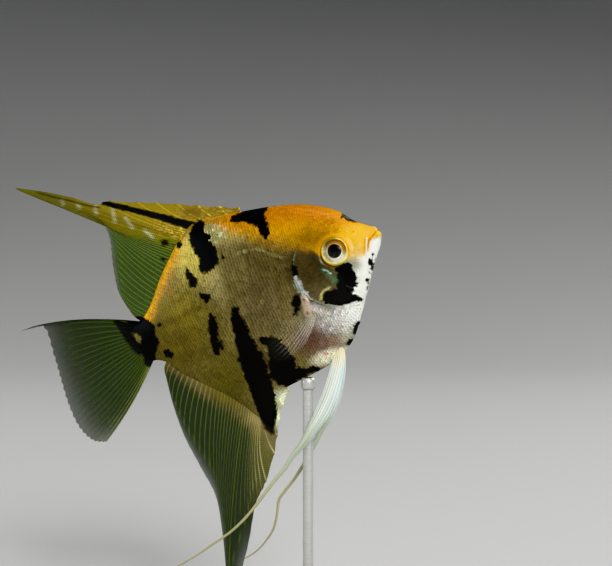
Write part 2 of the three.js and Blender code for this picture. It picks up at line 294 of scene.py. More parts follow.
@dataclass
class Sheet:
    """Vertices, faces, a bake map and painted values that become one mesh object."""

    points: Array
    faces: Array
    uv: Array
    values: dict[str, Array] = field(default_factory=dict)
    posed: bool = True

    def flipped(self) -> "Sheet":
        """The same sheet with its faces turned over."""
        return Sheet(self.points, self.faces[:, ::-1], self.uv[:, ::-1], self.values, self.posed)

    def outward(self) -> "Sheet":
        """Turns a closed sheet's faces to the outside.

        Returns:
            The sheet itself, or the same one turned over.
        """
        a, b, c, d = (self.points[self.faces[:, k]] for k in range(4))
        volume = (np.cross(b - a, c - a) * a).sum() + (np.cross(c - a, d - a) * a).sum()
        return self if volume > 0 else self.flipped()

    def object(self, name: str, material: Material, slot: str) -> Piece:
        """Makes the mesh object and rides it on the root body.

        Args:
            name: the piece's name.
            material: its finish.
            slot: the record's material slot; not used.

        Returns:
            The new object.
        """
        corners = self.faces.shape[1]
        mesh = bpy.data.meshes.new(name)
        mesh.vertices.add(len(self.points))
        places = POSE.placed(self.points) if self.posed else self.points * MM
        mesh.vertices.foreach_set("co", places.astype(np.float32).ravel())
        mesh.loops.add(self.faces.size)
        mesh.loops.foreach_set("vertex_index", self.faces.astype(np.int32).ravel())
        mesh.polygons.add(len(self.faces))
        starts = np.arange(len(self.faces), dtype=np.int32) * corners
        mesh.polygons.foreach_set("loop_start", starts)
        mesh.polygons.foreach_set("use_smooth", np.ones(len(self.faces), bool))
        uv = mesh.uv_layers.new(name=BAKE_MAP)
        uv.data.foreach_set("uv", self.uv.astype(np.float32).ravel())
        mesh.update(calc_edges=True)
        for key, value in self.values.items():
            kind, item = ("FLOAT_COLOR", "color") if value.ndim == 2 else ("FLOAT", "value")
            if value.ndim == 2:
                value = np.concatenate([value, np.ones((len(value), 1))], 1)
            layer = mesh.attributes.new(key, kind, "POINT")
            layer.data.foreach_set(item, value.astype(np.float32).ravel())
        mesh.validate()
        mesh.materials.append(material)
        made = shown(name, mesh)
        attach(made, ROOT)
        LOG.info("%s: %d vertices, %d faces", name, len(self.points), len(self.faces))
        return made


def grid_faces(rows: int, columns: int, wraps: bool = False) -> Array:
    """The quads of a grid of vertices laid out row by row.

    Args:
        rows: how many rows of vertices.
        columns: how many vertices in each row.
        wraps: whether the last column joins the first.

    Returns:
        Four vertex indices for each quad.
    """
    i = np.arange(rows - 1)[:, None]
    j = np.arange(columns if wraps else columns - 1)[None, :]
    k = (j + 1) % columns
    quad = np.stack([i * columns + j, i * columns + k, (i + 1) * columns + k, (i + 1) * columns + j], -1)
    return quad.reshape(-1, 4)


def grid_uv(u: Array, v: Array, wraps: bool = False) -> Array:
    """The loops' places on the bake map for the quads that grid_faces makes.

    Args:
        u: one number for each row.
        v: one for each column, and one more past the seam if the grid wraps.
        wraps: whether the last column joins the first.

    Returns:
        Four pairs for each quad.
    """
    rows, columns = len(u), len(v) - (1 if wraps else 0)
    i = np.arange(rows - 1)[:, None]
    j = np.arange(columns if wraps else columns - 1)[None, :]
    corners = [(i, j), (i, j + 1), (i + 1, j + 1), (i + 1, j)]
    pairs = [np.stack(np.broadcast_arrays(u[a], v[b]), -1) for a, b in corners]
    return np.stack(pairs, -2).reshape(-1, 4, 2)


def map_steps(count: int) -> Array:
    """Even steps across the bake map, clear of its edges."""
    return np.linspace(BAKE_EDGE, 1 - BAKE_EDGE, count)


def hoops(points: Array, values: dict[str, Array] | None = None, posed: bool = True) -> Sheet:
    """Joins rings of vertices into a sheet that wraps round.

    Args:
        points: the rings, (rows, columns, 3).
        values: values for the vertices, (rows, columns) or (rows, columns, 3).
        posed: whether the points are in the fish's own frame.

    Returns:
        The sheet, turned outward.
    """
    rows, columns = points.shape[:2]
    painted = {key: value.reshape((-1,) + value.shape[2:]) for key, value in (values or {}).items()}
    uv = grid_uv(map_steps(rows), map_steps(columns + 1), wraps=True)
    return Sheet(points.reshape(-1, 3), grid_faces(rows, columns, wraps=True), uv, painted, posed).outward()


# ---- the body's form ----


@dataclass(frozen=True)
class BodyForm:
    """The flesh as one smooth form, in the fish's frame: x from the tail base, z from the axis."""

    length: float = 80.0
    stalk_end: float = -2.2
    snout_round: float = 1.2
    stalk_round: float = 1.6
    lens_back: float = 1.2
    lens_belly: float = 1.55
    lens_starts: float = 70.0
    lens_full: float = 50.0
    thinnest: float = 0.02
    back: Curve = through([
        (80, 0.2), (78.7, 2.3), (75.5, 5.3), (73.7, 7.1), (71.2, 10.6), (67.8, 13.7), (61.2, 17.5),
        (52.6, 20.7), (44, 23), (36, 24.9), (28.6, 25.9), (24.2, 24.4), (20.3, 21.9), (12.6, 15.8),
        (5, 8.6), (1.3, 6.6), (-2.2, 6.2)])
    belly: Curve = through([
        (80, -0.6), (78.1, -3.4), (75.2, -6.6), (70.9, -11.9), (65.7, -18.4), (60, -24.8),
        (55.7, -27.1), (50, -28.7), (42, -29.4), (37, -29.6), (32.8, -31.6), (29.8, -35.2),
        (27, -38.6), (24.6, -35.4), (22.3, -31.4), (18, -25.4), (11.2, -18.2), (7.6, -14.2),
        (4, -8.8), (1, -6.9), (-2.2, -6.4)])
    axis: Curve = through([
        (80, -0.2), (70, -1), (56, -2.5), (40, -2.5), (20, -1), (-2.2, 0)])
    half: Curve = through([
        (80, 0.9), (78.4, 2.1), (75, 3.6), (70, 5.1), (64, 6.2), (56, 6.9), (46, 6.7), (34, 5.7),
        (20, 4), (8, 2.6), (1, 2), (-2.2, 1.7)])

    def closing(self, x: Array) -> Array:
        """How far the form has closed towards its two ends.

        Args:
            x: places along the fish.

        Returns:
            Numbers from 1, open, to 0, closed.
        """
        snout = np.clip((self.length - x) / self.snout_round, 0, 1)
        stalk = np.clip((x - self.stalk_end) / self.stalk_round, 0, 1)
        return np.sqrt(1 - (1 - snout) ** 2) * np.sqrt(1 - (1 - stalk) ** 2)

    def reach(self, x: Array, up: Array) -> Array:
        """How far the outline lies from the axis, above it where up is positive, else below."""
        return np.where(up > 0, self.back(x) - self.axis(x), self.axis(x) - self.belly(x))

    def lens(self, x: Array, up: Array) -> Array:
        """The section's exponent: 1 on the head, more behind it for a sharper edge."""
        lensed = smooth(self.lens_starts, self.lens_full, x)
        return 1 + lensed * (np.where(up > 0, self.lens_back, self.lens_belly) - 1)

    def extent(self, x: Array, up: Array, grow: float) -> tuple[Array, Array]:
        """The form's half thickness, and how far its outline lies from the axis."""
        sizes = (self.half(x) * self.closing(x) + grow, self.reach(x, up) * self.closing(x) + grow)
        return np.maximum(sizes[0], self.thinnest), np.maximum(sizes[1], self.thinnest)

    def ring(self, x: Array, angle: Array, grow: float) -> Array:
        """Points round the form.

        Args:
            x: places along the fish.
            angle: from 0 at the back, through the right flank, to a full turn.
            grow: how far outside the form, negative for inside.

        Returns:
            The points.
        """
        up, out = np.cos(angle), -np.sin(angle)
        half, reach = self.extent(x, up, grow)
        y = np.sign(out) * half * np.abs(out) ** self.lens(x, up)
        return np.stack(np.broadcast_arrays(x, y, self.axis(x) + up * reach), -1)

    def flank(self, x: Array, z: Array, side: Side, grow: float) -> Array:
        """The point of a flank that lies at x and z.

        Args:
            x: places along the fish.
            z: places up the fish.
            side: the flank.
            grow: how far outside the form.

        Returns:
            The point.
        """
        up = z - self.axis(x)
        half, reach = self.extent(x, up, grow)
        share = np.clip(1 - (up / reach) ** 2, 0.0, 1.0)
        y = side.value * half * share ** (self.lens(x, up) / 2)
        return np.stack(np.broadcast_arrays(x, y, z), -1)

    def flank_frame(self, x: Array, z: Array, side: Side, grow: float) -> tuple[Array, Array, Array, Array]:
        """A point of a flank with its directions.

        Args:
            x: places along the fish.
            z: places up the fish.
            side: the flank.
            grow: how far outside the form.

        Returns:
            The point, the direction to the tail, the direction up and the outward normal.
        """
        e = 0.15
        here = self.flank(x, z, side, grow)
        share = (z - self.axis(x)) / self.reach(x, z - self.axis(x))
        up_down = np.where(share > 0, 1.0, -1.0)
        follow = np.abs(share) ** 3
        edge = self.axis(x + e) + share * self.reach(x + e, up_down)
        edge = edge - self.axis(x - e) - share * self.reach(x - e, up_down)
        dz = np.clip(follow * edge / 2, -2 * e, 2 * e)
        rear = normalised(self.flank(x - e, z - dz, side, grow) - self.flank(x + e, z + dz, side, grow))
        up = self.flank(x, z + e, side, grow) - self.flank(x, z - e, side, grow)
        normal = normalised(np.cross(rear, up) * side.value)
        up = normalised(np.cross(normal, rear) * side.value)
        return here, rear, up, normal


FORM = BodyForm()
SKIN_DEPTH = 0.3


# ---- landmarks of the head and flank, (x, z) in millimetres ----

EYE_AT = (66.3, 0.0)
EYE_RADIUS = 4.1
GILL_RIM = [(56.6, 5.2), (54.4, 2.2), (53.2, -1.4), (53.3, -4.8), (55, -9.2), (57.9, -12.3), (62, -14.4),
            (67.2, -15.2)]
PREOPERCLE = [(60.4, 3.8), (61.3, -0.4), (62.2, -4.6), (63.6, -8.2), (66.2, -11.2), (69.4, -13)]
CLEFT = [(79.8, 1.6), (79.1, 0.95), (77.8, 0.05), (76.4, -0.75), (75.6, -2.1), (75.0, -3.4)]
MAXILLA = [(76.3, 0.5), (75.5, -1.2), (74.8, -2.7), (73.9, -4.6)]
JAW_JOINT = [(74.4, -4.4), (73.4, -7.2), (71.8, -10.6)]
NOSTRIL = (73.2, 3.3)
LIP_KNOB = (78.5, 2.3)
THROAT_FOLDS = [[(58.6, -13.6), (62.2, -15.5), (66.4, -16.3)], [(59.8, -14.9), (63, -16.5), (65.4, -17.1)]]
HEAD_PORES = [(70.2, -5.2), (69.2, -7.4), (71.4, -2.6), (62.4, 6.2), (64.6, 7), (70.6, 5.2), (61, 4.2)]
LATERAL_LINE = [(54.3, 4.1), (51.8, 5.1), (49, 7.5), (46.3, 10.1), (42, 11.2), (39.1, 11.5), (35.5, 12.1)]
LATERAL_LINE_REAR = [(24, 1.4), (18.9, 1.9), (12.8, 1.6), (7.8, 1.7), (1, 0.8)]
PECTORAL_BASE = [(53.2, -8.7), (53.0, -10.7), (52.4, -12.7)]


def relief(x: Array, z: Array, y: Array) -> Array:
    """How far the bare skin stands out of its smooth form.

    Args:
        x: places along the fish.
        z: places up the fish.
        y: places across it, for what lies on the midline.

    Returns:
        Heights in millimetres, negative for hollows.
    """
    eye = np.hypot(x - EYE_AT[0], z - EYE_AT[1])
    socket = -2.4 * smooth(EYE_RADIUS - 0.1, EYE_RADIUS - 1.6, eye)
    brow = 0.2 * bump(eye - EYE_RADIUS - 0.45, 0.5) - 0.1 * bump(eye - EYE_RADIUS - 1.7, 0.6)
    rim, rim_side, rim_at = path_distance(x, z, GILL_RIM)
    ahead = np.where(rim_side > 0, rim, -rim)
    cover = 0.34 * np.exp(-np.maximum(ahead, 0) / 3.2) * smooth(-0.35, 0.2, ahead)
    cover = (cover - 0.22 * bump(ahead + 0.6, 0.4)) * faded(rim_at, 0.06, 0.9)
    ridge, ridge_side, ridge_at = path_distance(x, z, PREOPERCLE)
    cheek = 0.2 * bump(ridge, 0.5) - 0.16 * bump(ridge - 0.9, 0.45) * (ridge_side < 0)
    cheek = cheek * faded(ridge_at, 0.15, 0.9)
    cleft, cleft_side, cleft_at = path_distance(x, z, CLEFT)
    open_end = smooth(1.0, 0.8, cleft_at)
    lips = (0.26 * bump(cleft - 0.55, 0.36) - 0.6 * bump(cleft, 0.16)) * open_end
    behind_lip = -0.16 * bump(cleft - 1.35, 0.3) * open_end * (cleft_side > 0)
    maxilla, _, maxilla_at = path_distance(x, z, MAXILLA)
    plate = (0.2 * bump(maxilla, 0.34) - 0.24 * bump(maxilla - 0.62, 0.24)) * faded(maxilla_at, 0.2, 0.8)
    joint, _, joint_at = path_distance(x, z, JAW_JOINT)
    jaw = -0.16 * bump(joint, 0.3) * smooth(1, 0.7, joint_at)
    knob = 0.42 * bump(np.hypot(x - LIP_KNOB[0], z - LIP_KNOB[1]), 0.6) * bump(y, 1.2)
    nose = np.hypot(x - NOSTRIL[0], z - NOSTRIL[1])
    nostril = 0.14 * bump(nose - 0.55, 0.25) - 0.5 * bump(nose, 0.3)
    folds = sum(-0.1 * bump(path_distance(x, z, fold)[0], 0.2) for fold in THROAT_FOLDS)
    pores = sum(-0.16 * bump(np.hypot(x - px, z - pz), 0.2) for px, pz in HEAD_PORES)
    fin_base = 0.45 * bump(path_distance(x, z, PECTORAL_BASE)[0], 0.95)
    ripple = 0.05 * grain(x, z, 1.7, 3.0) * smooth(50, 60, x)
    total = (socket + brow + cover + cheek + lips + behind_lip + plate + jaw + knob + nostril + folds
             + pores + fin_base + ripple)
    return total * smooth(79.8, 78.9, x)


# ---- markings, with painted shade and highlights among them: what colour the fish is at a place ----


@dataclass(frozen=True)
class Tint:
    """A soft oval of colour on the flank: its middle, half sizes, turn in degrees and strength."""

    colour: Colour
    x: float
    z: float
    rx: float
    rz: float
    turn: float = 0.0
    strength: float = 1.0
    softness: float = 0.7

    def weight(self, x: Array, z: Array) -> Array:
        """How strongly the tint lies at a place.

        Args:
            x: places along the fish.
            z: places up the fish.

        Returns:
            Numbers from 0 to 1.
        """
        c, s = math.cos(math.radians(self.turn)), math.sin(math.radians(self.turn))
        a = ((x - self.x) * c + (z - self.z) * s) / self.rx
        b = (-(x - self.x) * s + (z - self.z) * c) / self.rz
        return self.strength * smooth(1 + self.softness, 1 - self.softness, np.hypot(a, b))


FLANK = (0.46, 0.42, 0.27)
DEEP_ORANGE = (0.74, 0.455, 0.005)
GOLD = (0.86, 0.62, 0.02)
WHITE = (0.96, 0.97, 0.94)
BLACK = (0.018, 0.017, 0.018)

# laid on in this order
TINTS = [
    Tint((0.375, 0.335, 0.22), 46, 3, 11, 11),  # dull shoulder
    Tint((0.39, 0.345, 0.255), 41, -6, 7, 8, 0, 0.6),  # purplish flush behind the gill
    Tint((0.365, 0.32, 0.14), 12, -4, 14, 12),  # gold-tan rear
    Tint((0.76, 0.69, 0.32), 25, 17, 6, 8, 20, 0.8),  # bright gold rear back
    Tint((0.54, 0.485, 0.2), 16.5, 5, 6, 7.5, 30, 0.55),  # gold streak on the rear flank
    Tint((0.62, 0.45, 0.24), 14, 13, 1.5, 5, 12, 0.4),  # pinkish rear edge
    Tint((0.62, 0.6, 0.38), 41.4, -4.6, 0.8, 0.8, 0, 0.35),  # pale fleck
    Tint((0.62, 0.6, 0.38), 40.1, -5.3, 0.5, 0.6, 0, 0.35),  # pale fleck
    Tint((0.335, 0.305, 0.12), 20, -22, 10, 8, 40),  # low gold
    Tint((0.68, 0.62, 0.38), 39.5, 18.6, 5.4, 2.8, -24, 0.8),  # gold flecks below the orange
    Tint((0.62, 0.6, 0.38), 34.8, 20.6, 4.4, 3.4, -24),  # pale silver patch
    Tint((0.6, 0.56, 0.38), 29.5, 8, 2.6, 7, 0, 0.5),  # pale streak beside the blotch
    Tint((0.84, 0.86, 0.72), 33.6, -32, 2.6, 2.6, 20, 0.9),  # silver fringe of the belly
    Tint((0.84, 0.86, 0.72), 29.4, -36.6, 1.4, 3, -20, 0.9),  # silver fringe lower down
    Tint((0.24, 0.2, 0.12), 34.6, -21, 1.6, 6.5, 0, 0.8),  # dusk between the two great blotches
    Tint((0.74, 0.74, 0.66), 59, -18.6, 9, 5.6, 30),  # silver breast
    Tint(WHITE, 66, -17.5, 5.4, 4.6, 40),  # white throat
    Tint((0.39, 0.28, 0.24), 50.2, -20, 5.6, 4.4, 0, 0.9),  # mauve flush on the breast
    Tint((0.47, 0.36, 0.3), 54.8, -22.8, 3.8, 2.4, 20, 0.75),  # the same, lower
    Tint((0.6, 0.56, 0.62), 58, -17.5, 4, 3, 0, 0.45),  # lilac flush
    Tint((0.97, 0.96, 0.84), 53, -26.6, 5, 1.9, -6),  # cream at the pelvic base
    Tint((0.72, 0.42, 0.16), 51.6, -25.2, 0.8, 0.5, 0, 0.6),  # orange spot
    Tint((0.25, 0.215, 0.135), 59.2, -2.2, 6.2, 9.2, -8),  # dusky gill cover
    Tint((0.36, 0.33, 0.24), 57.6, -8.4, 2.6, 3, 0, 0.55),  # paler towards its rim
    Tint((0.42, 0.41, 0.3), 65, -10, 3.4, 4.6, 30, 0.7),  # dull silver cheek under the eye
    Tint(WHITE, 73.2, -7.4, 5.2, 7, 20),  # white face
    Tint(WHITE, 68.6, -12.4, 3.2, 1.8, 24),  # its lower corner
    Tint((0.49, 0.51, 0.44), 70, -5, 2.1, 2.3, 20, 0.85),  # grey shadow ahead of the blotch
    Tint((0.98, 0.98, 0.96), 77.5, -3.6, 3.2, 3.4),  # chin
]

# painted glitter: fine painted highlights, each patch of them a tint that only the brightest specks take
GLINTS = [
    Tint((0.92, 0.94, 0.84), 34.6, 20.4, 4.2, 3, 0, 0.75, 0.5),  # silver patch
    Tint((0.96, 0.97, 0.95), 61.5, -18, 6.5, 3.6, 0, 0.5, 0.4),  # breast
    Tint((0.8, 0.76, 0.46), 27, 14, 6, 7, 0, 0.35, 0.5),  # gold rear back
]

# painted shadow: a darker orange laid over the nape behind the eye
NAPE_SHADOW_ORANGE = (0.5, 0.345, 0.01)
CHEEK_YELLOW = (0.92, 0.74, 0.04)
PEACH = (0.84, 0.71, 0.4)
SNOUT_YELLOW = (0.93, 0.7, 0.02)
LIP_YELLOW = (0.98, 0.82, 0.06)
RIDGE_TAN = (0.7, 0.55, 0.22)
REAR_GOLD = (0.8, 0.58, 0.16)
REAR_EDGE_GOLD = (0.93, 0.68, 0.15)
# the gill cover's pale rim line, and painted highlights on the rim and on the green patch
RIM_PALE_AND_HIGHLIGHT = (0.8, 0.86, 0.84)
RIM_PINK_HIGHLIGHT = (0.86, 0.72, 0.74)
AXIL_SILVER = (0.86, 0.84, 0.84)
LATERAL_SHADOW = (0.34, 0.29, 0.13)
LINE_LIGHT = (0.66, 0.63, 0.42)
LINE_SHADE = (0.33, 0.3, 0.19)
LOBE_FLESH = (0.74, 0.66, 0.58)
LOBE_RED = (0.46, 0.17, 0.08)
IRIDESCENT = (0.32, 0.48, 0.36)
PALE_GOLD = (0.8, 0.78, 0.5)
CLEFT_SHADE_BROWN = (0.42, 0.26, 0.08)
LIP_ORANGE = (0.86, 0.58, 0.1)

RIM_SHINE = [(53.2, -1.6, 0.2), (52.9, -3.9, 0.6), (53.4, -6.6, 0.35), (54.6, -8.6, 0.1)]
AXIL_SHINE = [(54.6, -11.6), (56.3, -13.4)]

# fine lines over the black marks: the line, its colour, half width, strength, and whether both sides have it
STREAKS = [
    ([(61.2, -3), (62.3, -3.9), (63, -5.5), (63.8, -7.6)], IRIDESCENT, 0.5, 0.9, False),
    # painted highlight on the green patch
    ([(61.7, -3.3), (62.5, -4), (63, -5.2)], RIM_PALE_AND_HIGHLIGHT, 0.2, 0.95, False),
    ([(61.2, -8.6), (59.8, -8.7), (58.6, -9.5), (57.8, -10.7)], PALE_GOLD, 0.3, 0.85, False),
    ([(76.2, 0.2), (75.5, -1.2), (74.8, -2.7), (74, -4.3)], WHITE, 0.17, 0.8, True),
    # painted shade along the lower part of the mouth's cleft
    ([(77.4, -0.3), (76.4, -0.8), (75.7, -2), (75.1, -3.2)], CLEFT_SHADE_BROWN, 0.16, 0.35, True),
    ([(75.2, -0.5), (74.5, -2.4), (73.7, -4)], LIP_ORANGE, 0.26, 0.4, True),
    # painted shade along the mouth's cleft
    ([(79.6, 1.4), (79, 0.9), (77.8, 0.05)], CLEFT_SHADE_BROWN, 0.14, 0.8, True),
]

# blotches: lines of (x, z, radius); first those of both flanks
SHARED_MARKS = [
    [(-1.6, 6, 2.2), (1.3, 4.7, 2.3), (3.3, 2.2, 2.4), (2.1, -1.5, 2.7), (-0.2, -4.2, 2.2),
     (-1.6, -6.6, 0.9)],
    [(-6.4, 8.6, 0.8), (-4.7, 6.4, 1.4), (-4.5, 3.8, 1.2), (-4, 1.4, 1.2), (-2.4, -1.2, 1.9)],
    [(17.8, 24.1, 0.9), (18.3, 23.9, 0.7)],
    # painted shadow along the top edge of the snout, laid as a black mark
    [(72.4, 8.9, 0.6), (74, 6.9, 0.5), (75.6, 5.4, 0.3)],
]
BLOTCHES_RIGHT = SHARED_MARKS + [
    [(41.9, 21.4, 0.9), (45.1, 20.9, 1.9), (48.4, 19.4, 2.5), (49.6, 17, 1.7), (49.9, 15.2, 1.4),
     (49.7, 13.6, 1.2)],
    [(45.5, 22.4, 1.2), (50.2, 20.8, 1.6)],
    [(30.2, 24, 1.9), (29.1, 20.9, 2.4), (29.9, 17.7, 2.4), (31, 14.9, 2.8), (30.3, 13.2, 2.8),
     (28.3, 12.2, 1.6)],
    [(31.2, 20.7, 1), (32.8, 19.7, 0.6)],
    [(35.5, 12.1, 0.3), (35.9, 12.2, 0.15)],
    [(22.9, 13.7, 0.36), (23, 11.7, 0.85), (23.1, 9.7, 1.4)],
    [(24.8, 4.3, 0.95), (25.5, 3.2, 0.95)],
    [(24.6, -1.5, 0.36), (24.5, -3.2, 1), (23.6, -5.6, 1.3), (22.8, -8, 1.2), (22.1, -10.2, 0.95),
     (21.8, -12.2, 0.6)],
    [(23.8, -10, 0.6), (23.6, -11.3, 0.4)],
    [(32.4, -3.4, 1.1), (32, -5.9, 1.8), (31.6, -9.6, 2.15), (31.1, -12.1, 2.45), (31.1, -15.3, 3.2),
     (30.8, -18.4, 3.6), (30.6, -21, 3.55), (30.2, -23.8, 3.3), (29.7, -26.8, 3.1), (28.9, -29.6, 2.9),
     (28.1, -32.2, 2.6), (27, -34.9, 2.3), (26.3, -37.5, 1.5), (26.1, -39.6, 0.6)],
    [(36.6, -14.6, 0.8), (38.4, -15.3, 1.1), (39.3, -17.3, 2.1), (39.2, -19.9, 3.1), (38.8, -22.7, 3.9),
     (38, -25.1, 4), (37.8, -27.3, 2.4)],
    [(40.8, -26.6, 2), (43.8, -27.6, 1.1), (46.6, -28, 0.6)],
    [(7.5, 2.8, 0.65), (8, 2.9, 0.4)],
    [(6.4, -6.4, 1), (6.9, -6.8, 0.7)],
    [(22.6, 21.6, 0.72), (22.2, 21.9, 0.6)],
    [(20.5, 22.5, 0.25), (20.2, 22.7, 0.2)],
    [(15.7, 20.1, 0.3), (15.4, 20.3, 0.2)],
    [(67, -5.5, 1.6), (66.8, -7.3, 2.4), (66.3, -9, 2.5), (65, -10.6, 2)],
    [(65.6, -4.8, 0.8), (68.2, -5.2, 0.9)],
    [(60.3, -11.1, 1.6), (62.2, -12, 2.1), (64.2, -12.8, 1.8), (65.6, -13.8, 0.9), (66.8, -14.4, 0.4)],
    [(75.4, -4.8, -0.05), (74.7, -6.2, 0.1), (73.9, -7.4, 0.05), (73.2, -8.7, 0.1)],
    [(74.9, -4.9, -0.1), (74.2, -6.2, 0), (73.5, -7.4, -0.1)],
    [(75.3, -6.1, -0.1), (74.6, -7.4, 0), (74, -8.2, -0.1)],
    [(73.1, -8, -0.05), (72.5, -9, 0.05)],
    [(53.8, 1.6, 0.8), (53.9, -0.2, 1.1)],
    [(51, -7.7, 0.95), (50.3, -9.6, 0.9), (49.5, -11.4, 0.4)],
    [(71.3, -10.6, 0.05), (70.9, -11.6, 0.12), (69.9, -12.9, 0.05)],
    [(63.6, -20.4, 0.12), (62.6, -21.6, 0.3), (61.4, -22.8, 0.25)],
    [(59.8, -24.4, 0.3), (58.6, -25.2, 0.3)],
]
BLOTCHES_LEFT = SHARED_MARKS + [
    [(45.6, 22.6, 1.8), (48.4, 20.4, 2.8), (53.4, 18.2, 2.2), (54.4, 15.4, 1.2)],
    [(30.4, 25.4, 2.4), (31.6, 21, 3), (33.6, 16.8, 2.4), (34.2, 13.2, 1.6)],
    [(22.4, 16.8, 1.4), (21.8, 13, 1.9), (22.6, 10.6, 1)],
    [(27.4, 3.6, 1.3), (28.2, 1.2, 1.5), (27.6, -1.2, 0.9)],
    [(36.2, 4.4, 1.2), (35.4, 0.6, 1.8), (34.2, -4, 2.2), (33.6, -9.4, 2.2), (33.2, -14.6, 2.8),
     (31.4, -20.6, 3), (30, -26.4, 2.6), (28.6, -32, 1.9), (27, -39.6, 0.9)],
    [(42.8, -17.4, 1.4), (43.6, -21.6, 2.6), (42, -25.6, 3), (38.6, -27.8, 1.8)],
    [(20.8, -8, 1.2), (20.4, -12, 1.8), (19, -15.4, 1)],
    [(9.8, 5.4, 0.7), (10.6, 6.4, 0.5)],
    [(63.8, -5.6, 1.2), (65.6, -7.4, 2), (64.6, -10.4, 1.3)],
    [(61.2, -12.6, 1), (64.4, -13.2, 1.5), (67.6, -14, 0.8)],
    [(58.2, 7.4, 0.9), (57, 9.2, 0.6)],
    [(52, -5.5, 0.8), (51.2, -8.2, 1.1), (50.8, -10, 0.6)],
    [(74.6, -6.4, 0.4), (73.6, -8, 0.5)],
    [(63.4, -20.7, 0.5), (62.6, -21.6, 0.4)],
]


@dataclass(frozen=True)
class Coat:
    """The fish's colours: an orange back over a silver-tan flank, with black blotches."""

    orange_edge: Curve = through([
        (80.5, -0.9), (78.6, -0.5), (77.2, -0.6), (76.2, -1.4), (75.2, -3), (73.6, -3.5), (71, -2.8),
        (68, -2.6), (65, -2.3), (62.4, 1), (61, 4), (58, 6), (53, 10), (47, 14), (42, 17.6),
        (38, 20.8), (34, 24.4), (29, 26.4), (24, 25), (18, 21), (8, 13), (0, 10)])
    fade: Curve = through([
        (80, 0.4), (75, 0.7), (72, 1.6), (66, 1.6), (62, 2.2), (58, 3.2), (52, 5.4), (40, 4.2), (30, 1.6),
        (0, 1.2)])
    swell: float = 0.25

    def black(self, x: Array, z: Array, side: Array) -> Array:
        """How black the marks are at places of either flank.

        Args:
            x: places along the fish.
            z: places up the fish.
            side: places across it; its sign tells the flank.

        Returns:
            Numbers from 0 to 1.
        """
        ragged = 0.36 * grain(x, z, 0.75, 5) + 0.3 * grain(x, z, 1.7, 9) + 0.2 * grain(x, z, 0.3, 2)
        dark = np.zeros(np.shape(x))
        for blotches, here in ((BLOTCHES_RIGHT, side < 0), (BLOTCHES_LEFT, side >= 0)):
            nearest = np.full(np.shape(x), np.inf)
            for line in blotches:
                nearest = np.minimum(nearest, path_distance(x, z, line)[0])
            dark = np.where(here, smooth(0.24, -0.18, nearest + (ragged - self.swell)), dark)
        return dark

    def details(self, x: Array, z: Array) -> list[Layer]:
        """The orange back with a painted shadow behind the eye, yellow snout and gold rear edge, then the
        gill cover's pale rim with painted highlights, the pale lateral lines with painted shade along them,
        and the pectoral fin's root.

        Args:
            x: places along the fish.
            z: places up the fish.

        Returns:
            The colours with their weights, in the order they are laid.
        """
        drift = smooth(76, 66, x)
        below = FORM.back(x) - z
        over = z - self.orange_edge(x) + (0.8 * grain(x, z, 2.4, 21) + 0.5 * grain(x, z, 0.9, 22)) * drift
        warm = smooth(-self.fade(x), self.fade(x), over)
        depth = below + 0.8 * grain(x, z, 0.9, 66)
        rear = smooth(26, 20, x) * smooth(0, 4, x)
        rim, _, rim_at = path_distance(x, z, GILL_RIM)
        shine = smooth(1.0, 0.0, path_distance(x, z, RIM_SHINE)[0] + 0.45 * grain(x, z, 0.8, 41))
        upper, upper_side, upper_at = path_distance(x, z, LATERAL_LINE)
        return [
            (GOLD, warm),
            (DEEP_ORANGE, warm * smooth(9.5, 2.5, below) * drift),
            # painted shadow on the orange behind the eye
            (NAPE_SHADOW_ORANGE, 0.9 * warm * bump(oval(x, z, (60.5, 6.2), (8.0, 4.4)), 1.0)),
            (CHEEK_YELLOW, 0.8 * smooth(68, 72, x) * warm * smooth(7, 3, z)),
            (PEACH, 0.85 * bump(oval(x, z, (72.0, -2.0), (2.6, 2.2)), 1.0)),
            (SNOUT_YELLOW, smooth(75.6, 77.4, x) * warm),
            (LIP_YELLOW, smooth(78.6, 79.6, x) * warm),
            (RIDGE_TAN, 0.7 * smooth(3.0, 0.6, below) * smooth(42, 38, x) * smooth(24, 29, x)),
            (REAR_GOLD, 0.75 * smooth(7.0, 2.4, depth) * rear),
            (REAR_EDGE_GOLD, 0.9 * smooth(3.2, 1.2, depth) * rear),
            (RIM_PALE_AND_HIGHLIGHT, (0.45 + 0.3 * grain(x, z, 0.9, 46)) * bump(rim, 0.26) * faded(rim_at, 0.1, 0.94)),
            # painted highlights on the gill cover's rim
            (RIM_PALE_AND_HIGHLIGHT, 0.75 * shine),
            (RIM_PINK_HIGHLIGHT, 0.5 * shine * smooth(0, 0.8, grain(x, z, 1.3, 44))),
            (AXIL_SILVER, 0.7 * bump(path_distance(x, z, AXIL_SHINE)[0], 1.0)),
            # painted shadow: a darker band along the rear lateral line
            (LATERAL_SHADOW, 0.7 * bump(path_distance(x, z, LATERAL_LINE_REAR)[0], 1.2) * smooth(4, 8, x)),
            (LINE_LIGHT, 0.5 * bump(upper, 0.3) * faded(upper_at, 0.2, 0.6)),
            (LINE_SHADE, 0.4 * bump(upper - 0.8, 0.5) * (upper_side > 0) * smooth(1, 0.7, upper_at)),
            (LOBE_FLESH, 0.9 * smooth(1.5, 0.8, path_distance(x, z, PECTORAL_BASE)[0])),
            *((LOBE_RED, 0.85 * bump(np.hypot(x - end[0], z - end[1]), 0.55))
              for end in (PECTORAL_BASE[0], PECTORAL_BASE[-1])),
        ]

    def colour(self, x: Array, z: Array) -> Array:
        """The coat without its black marks.

        Args:
            x: places along the fish.
            z: places up the fish.

        Returns:
            Linear colour for each place.
        """
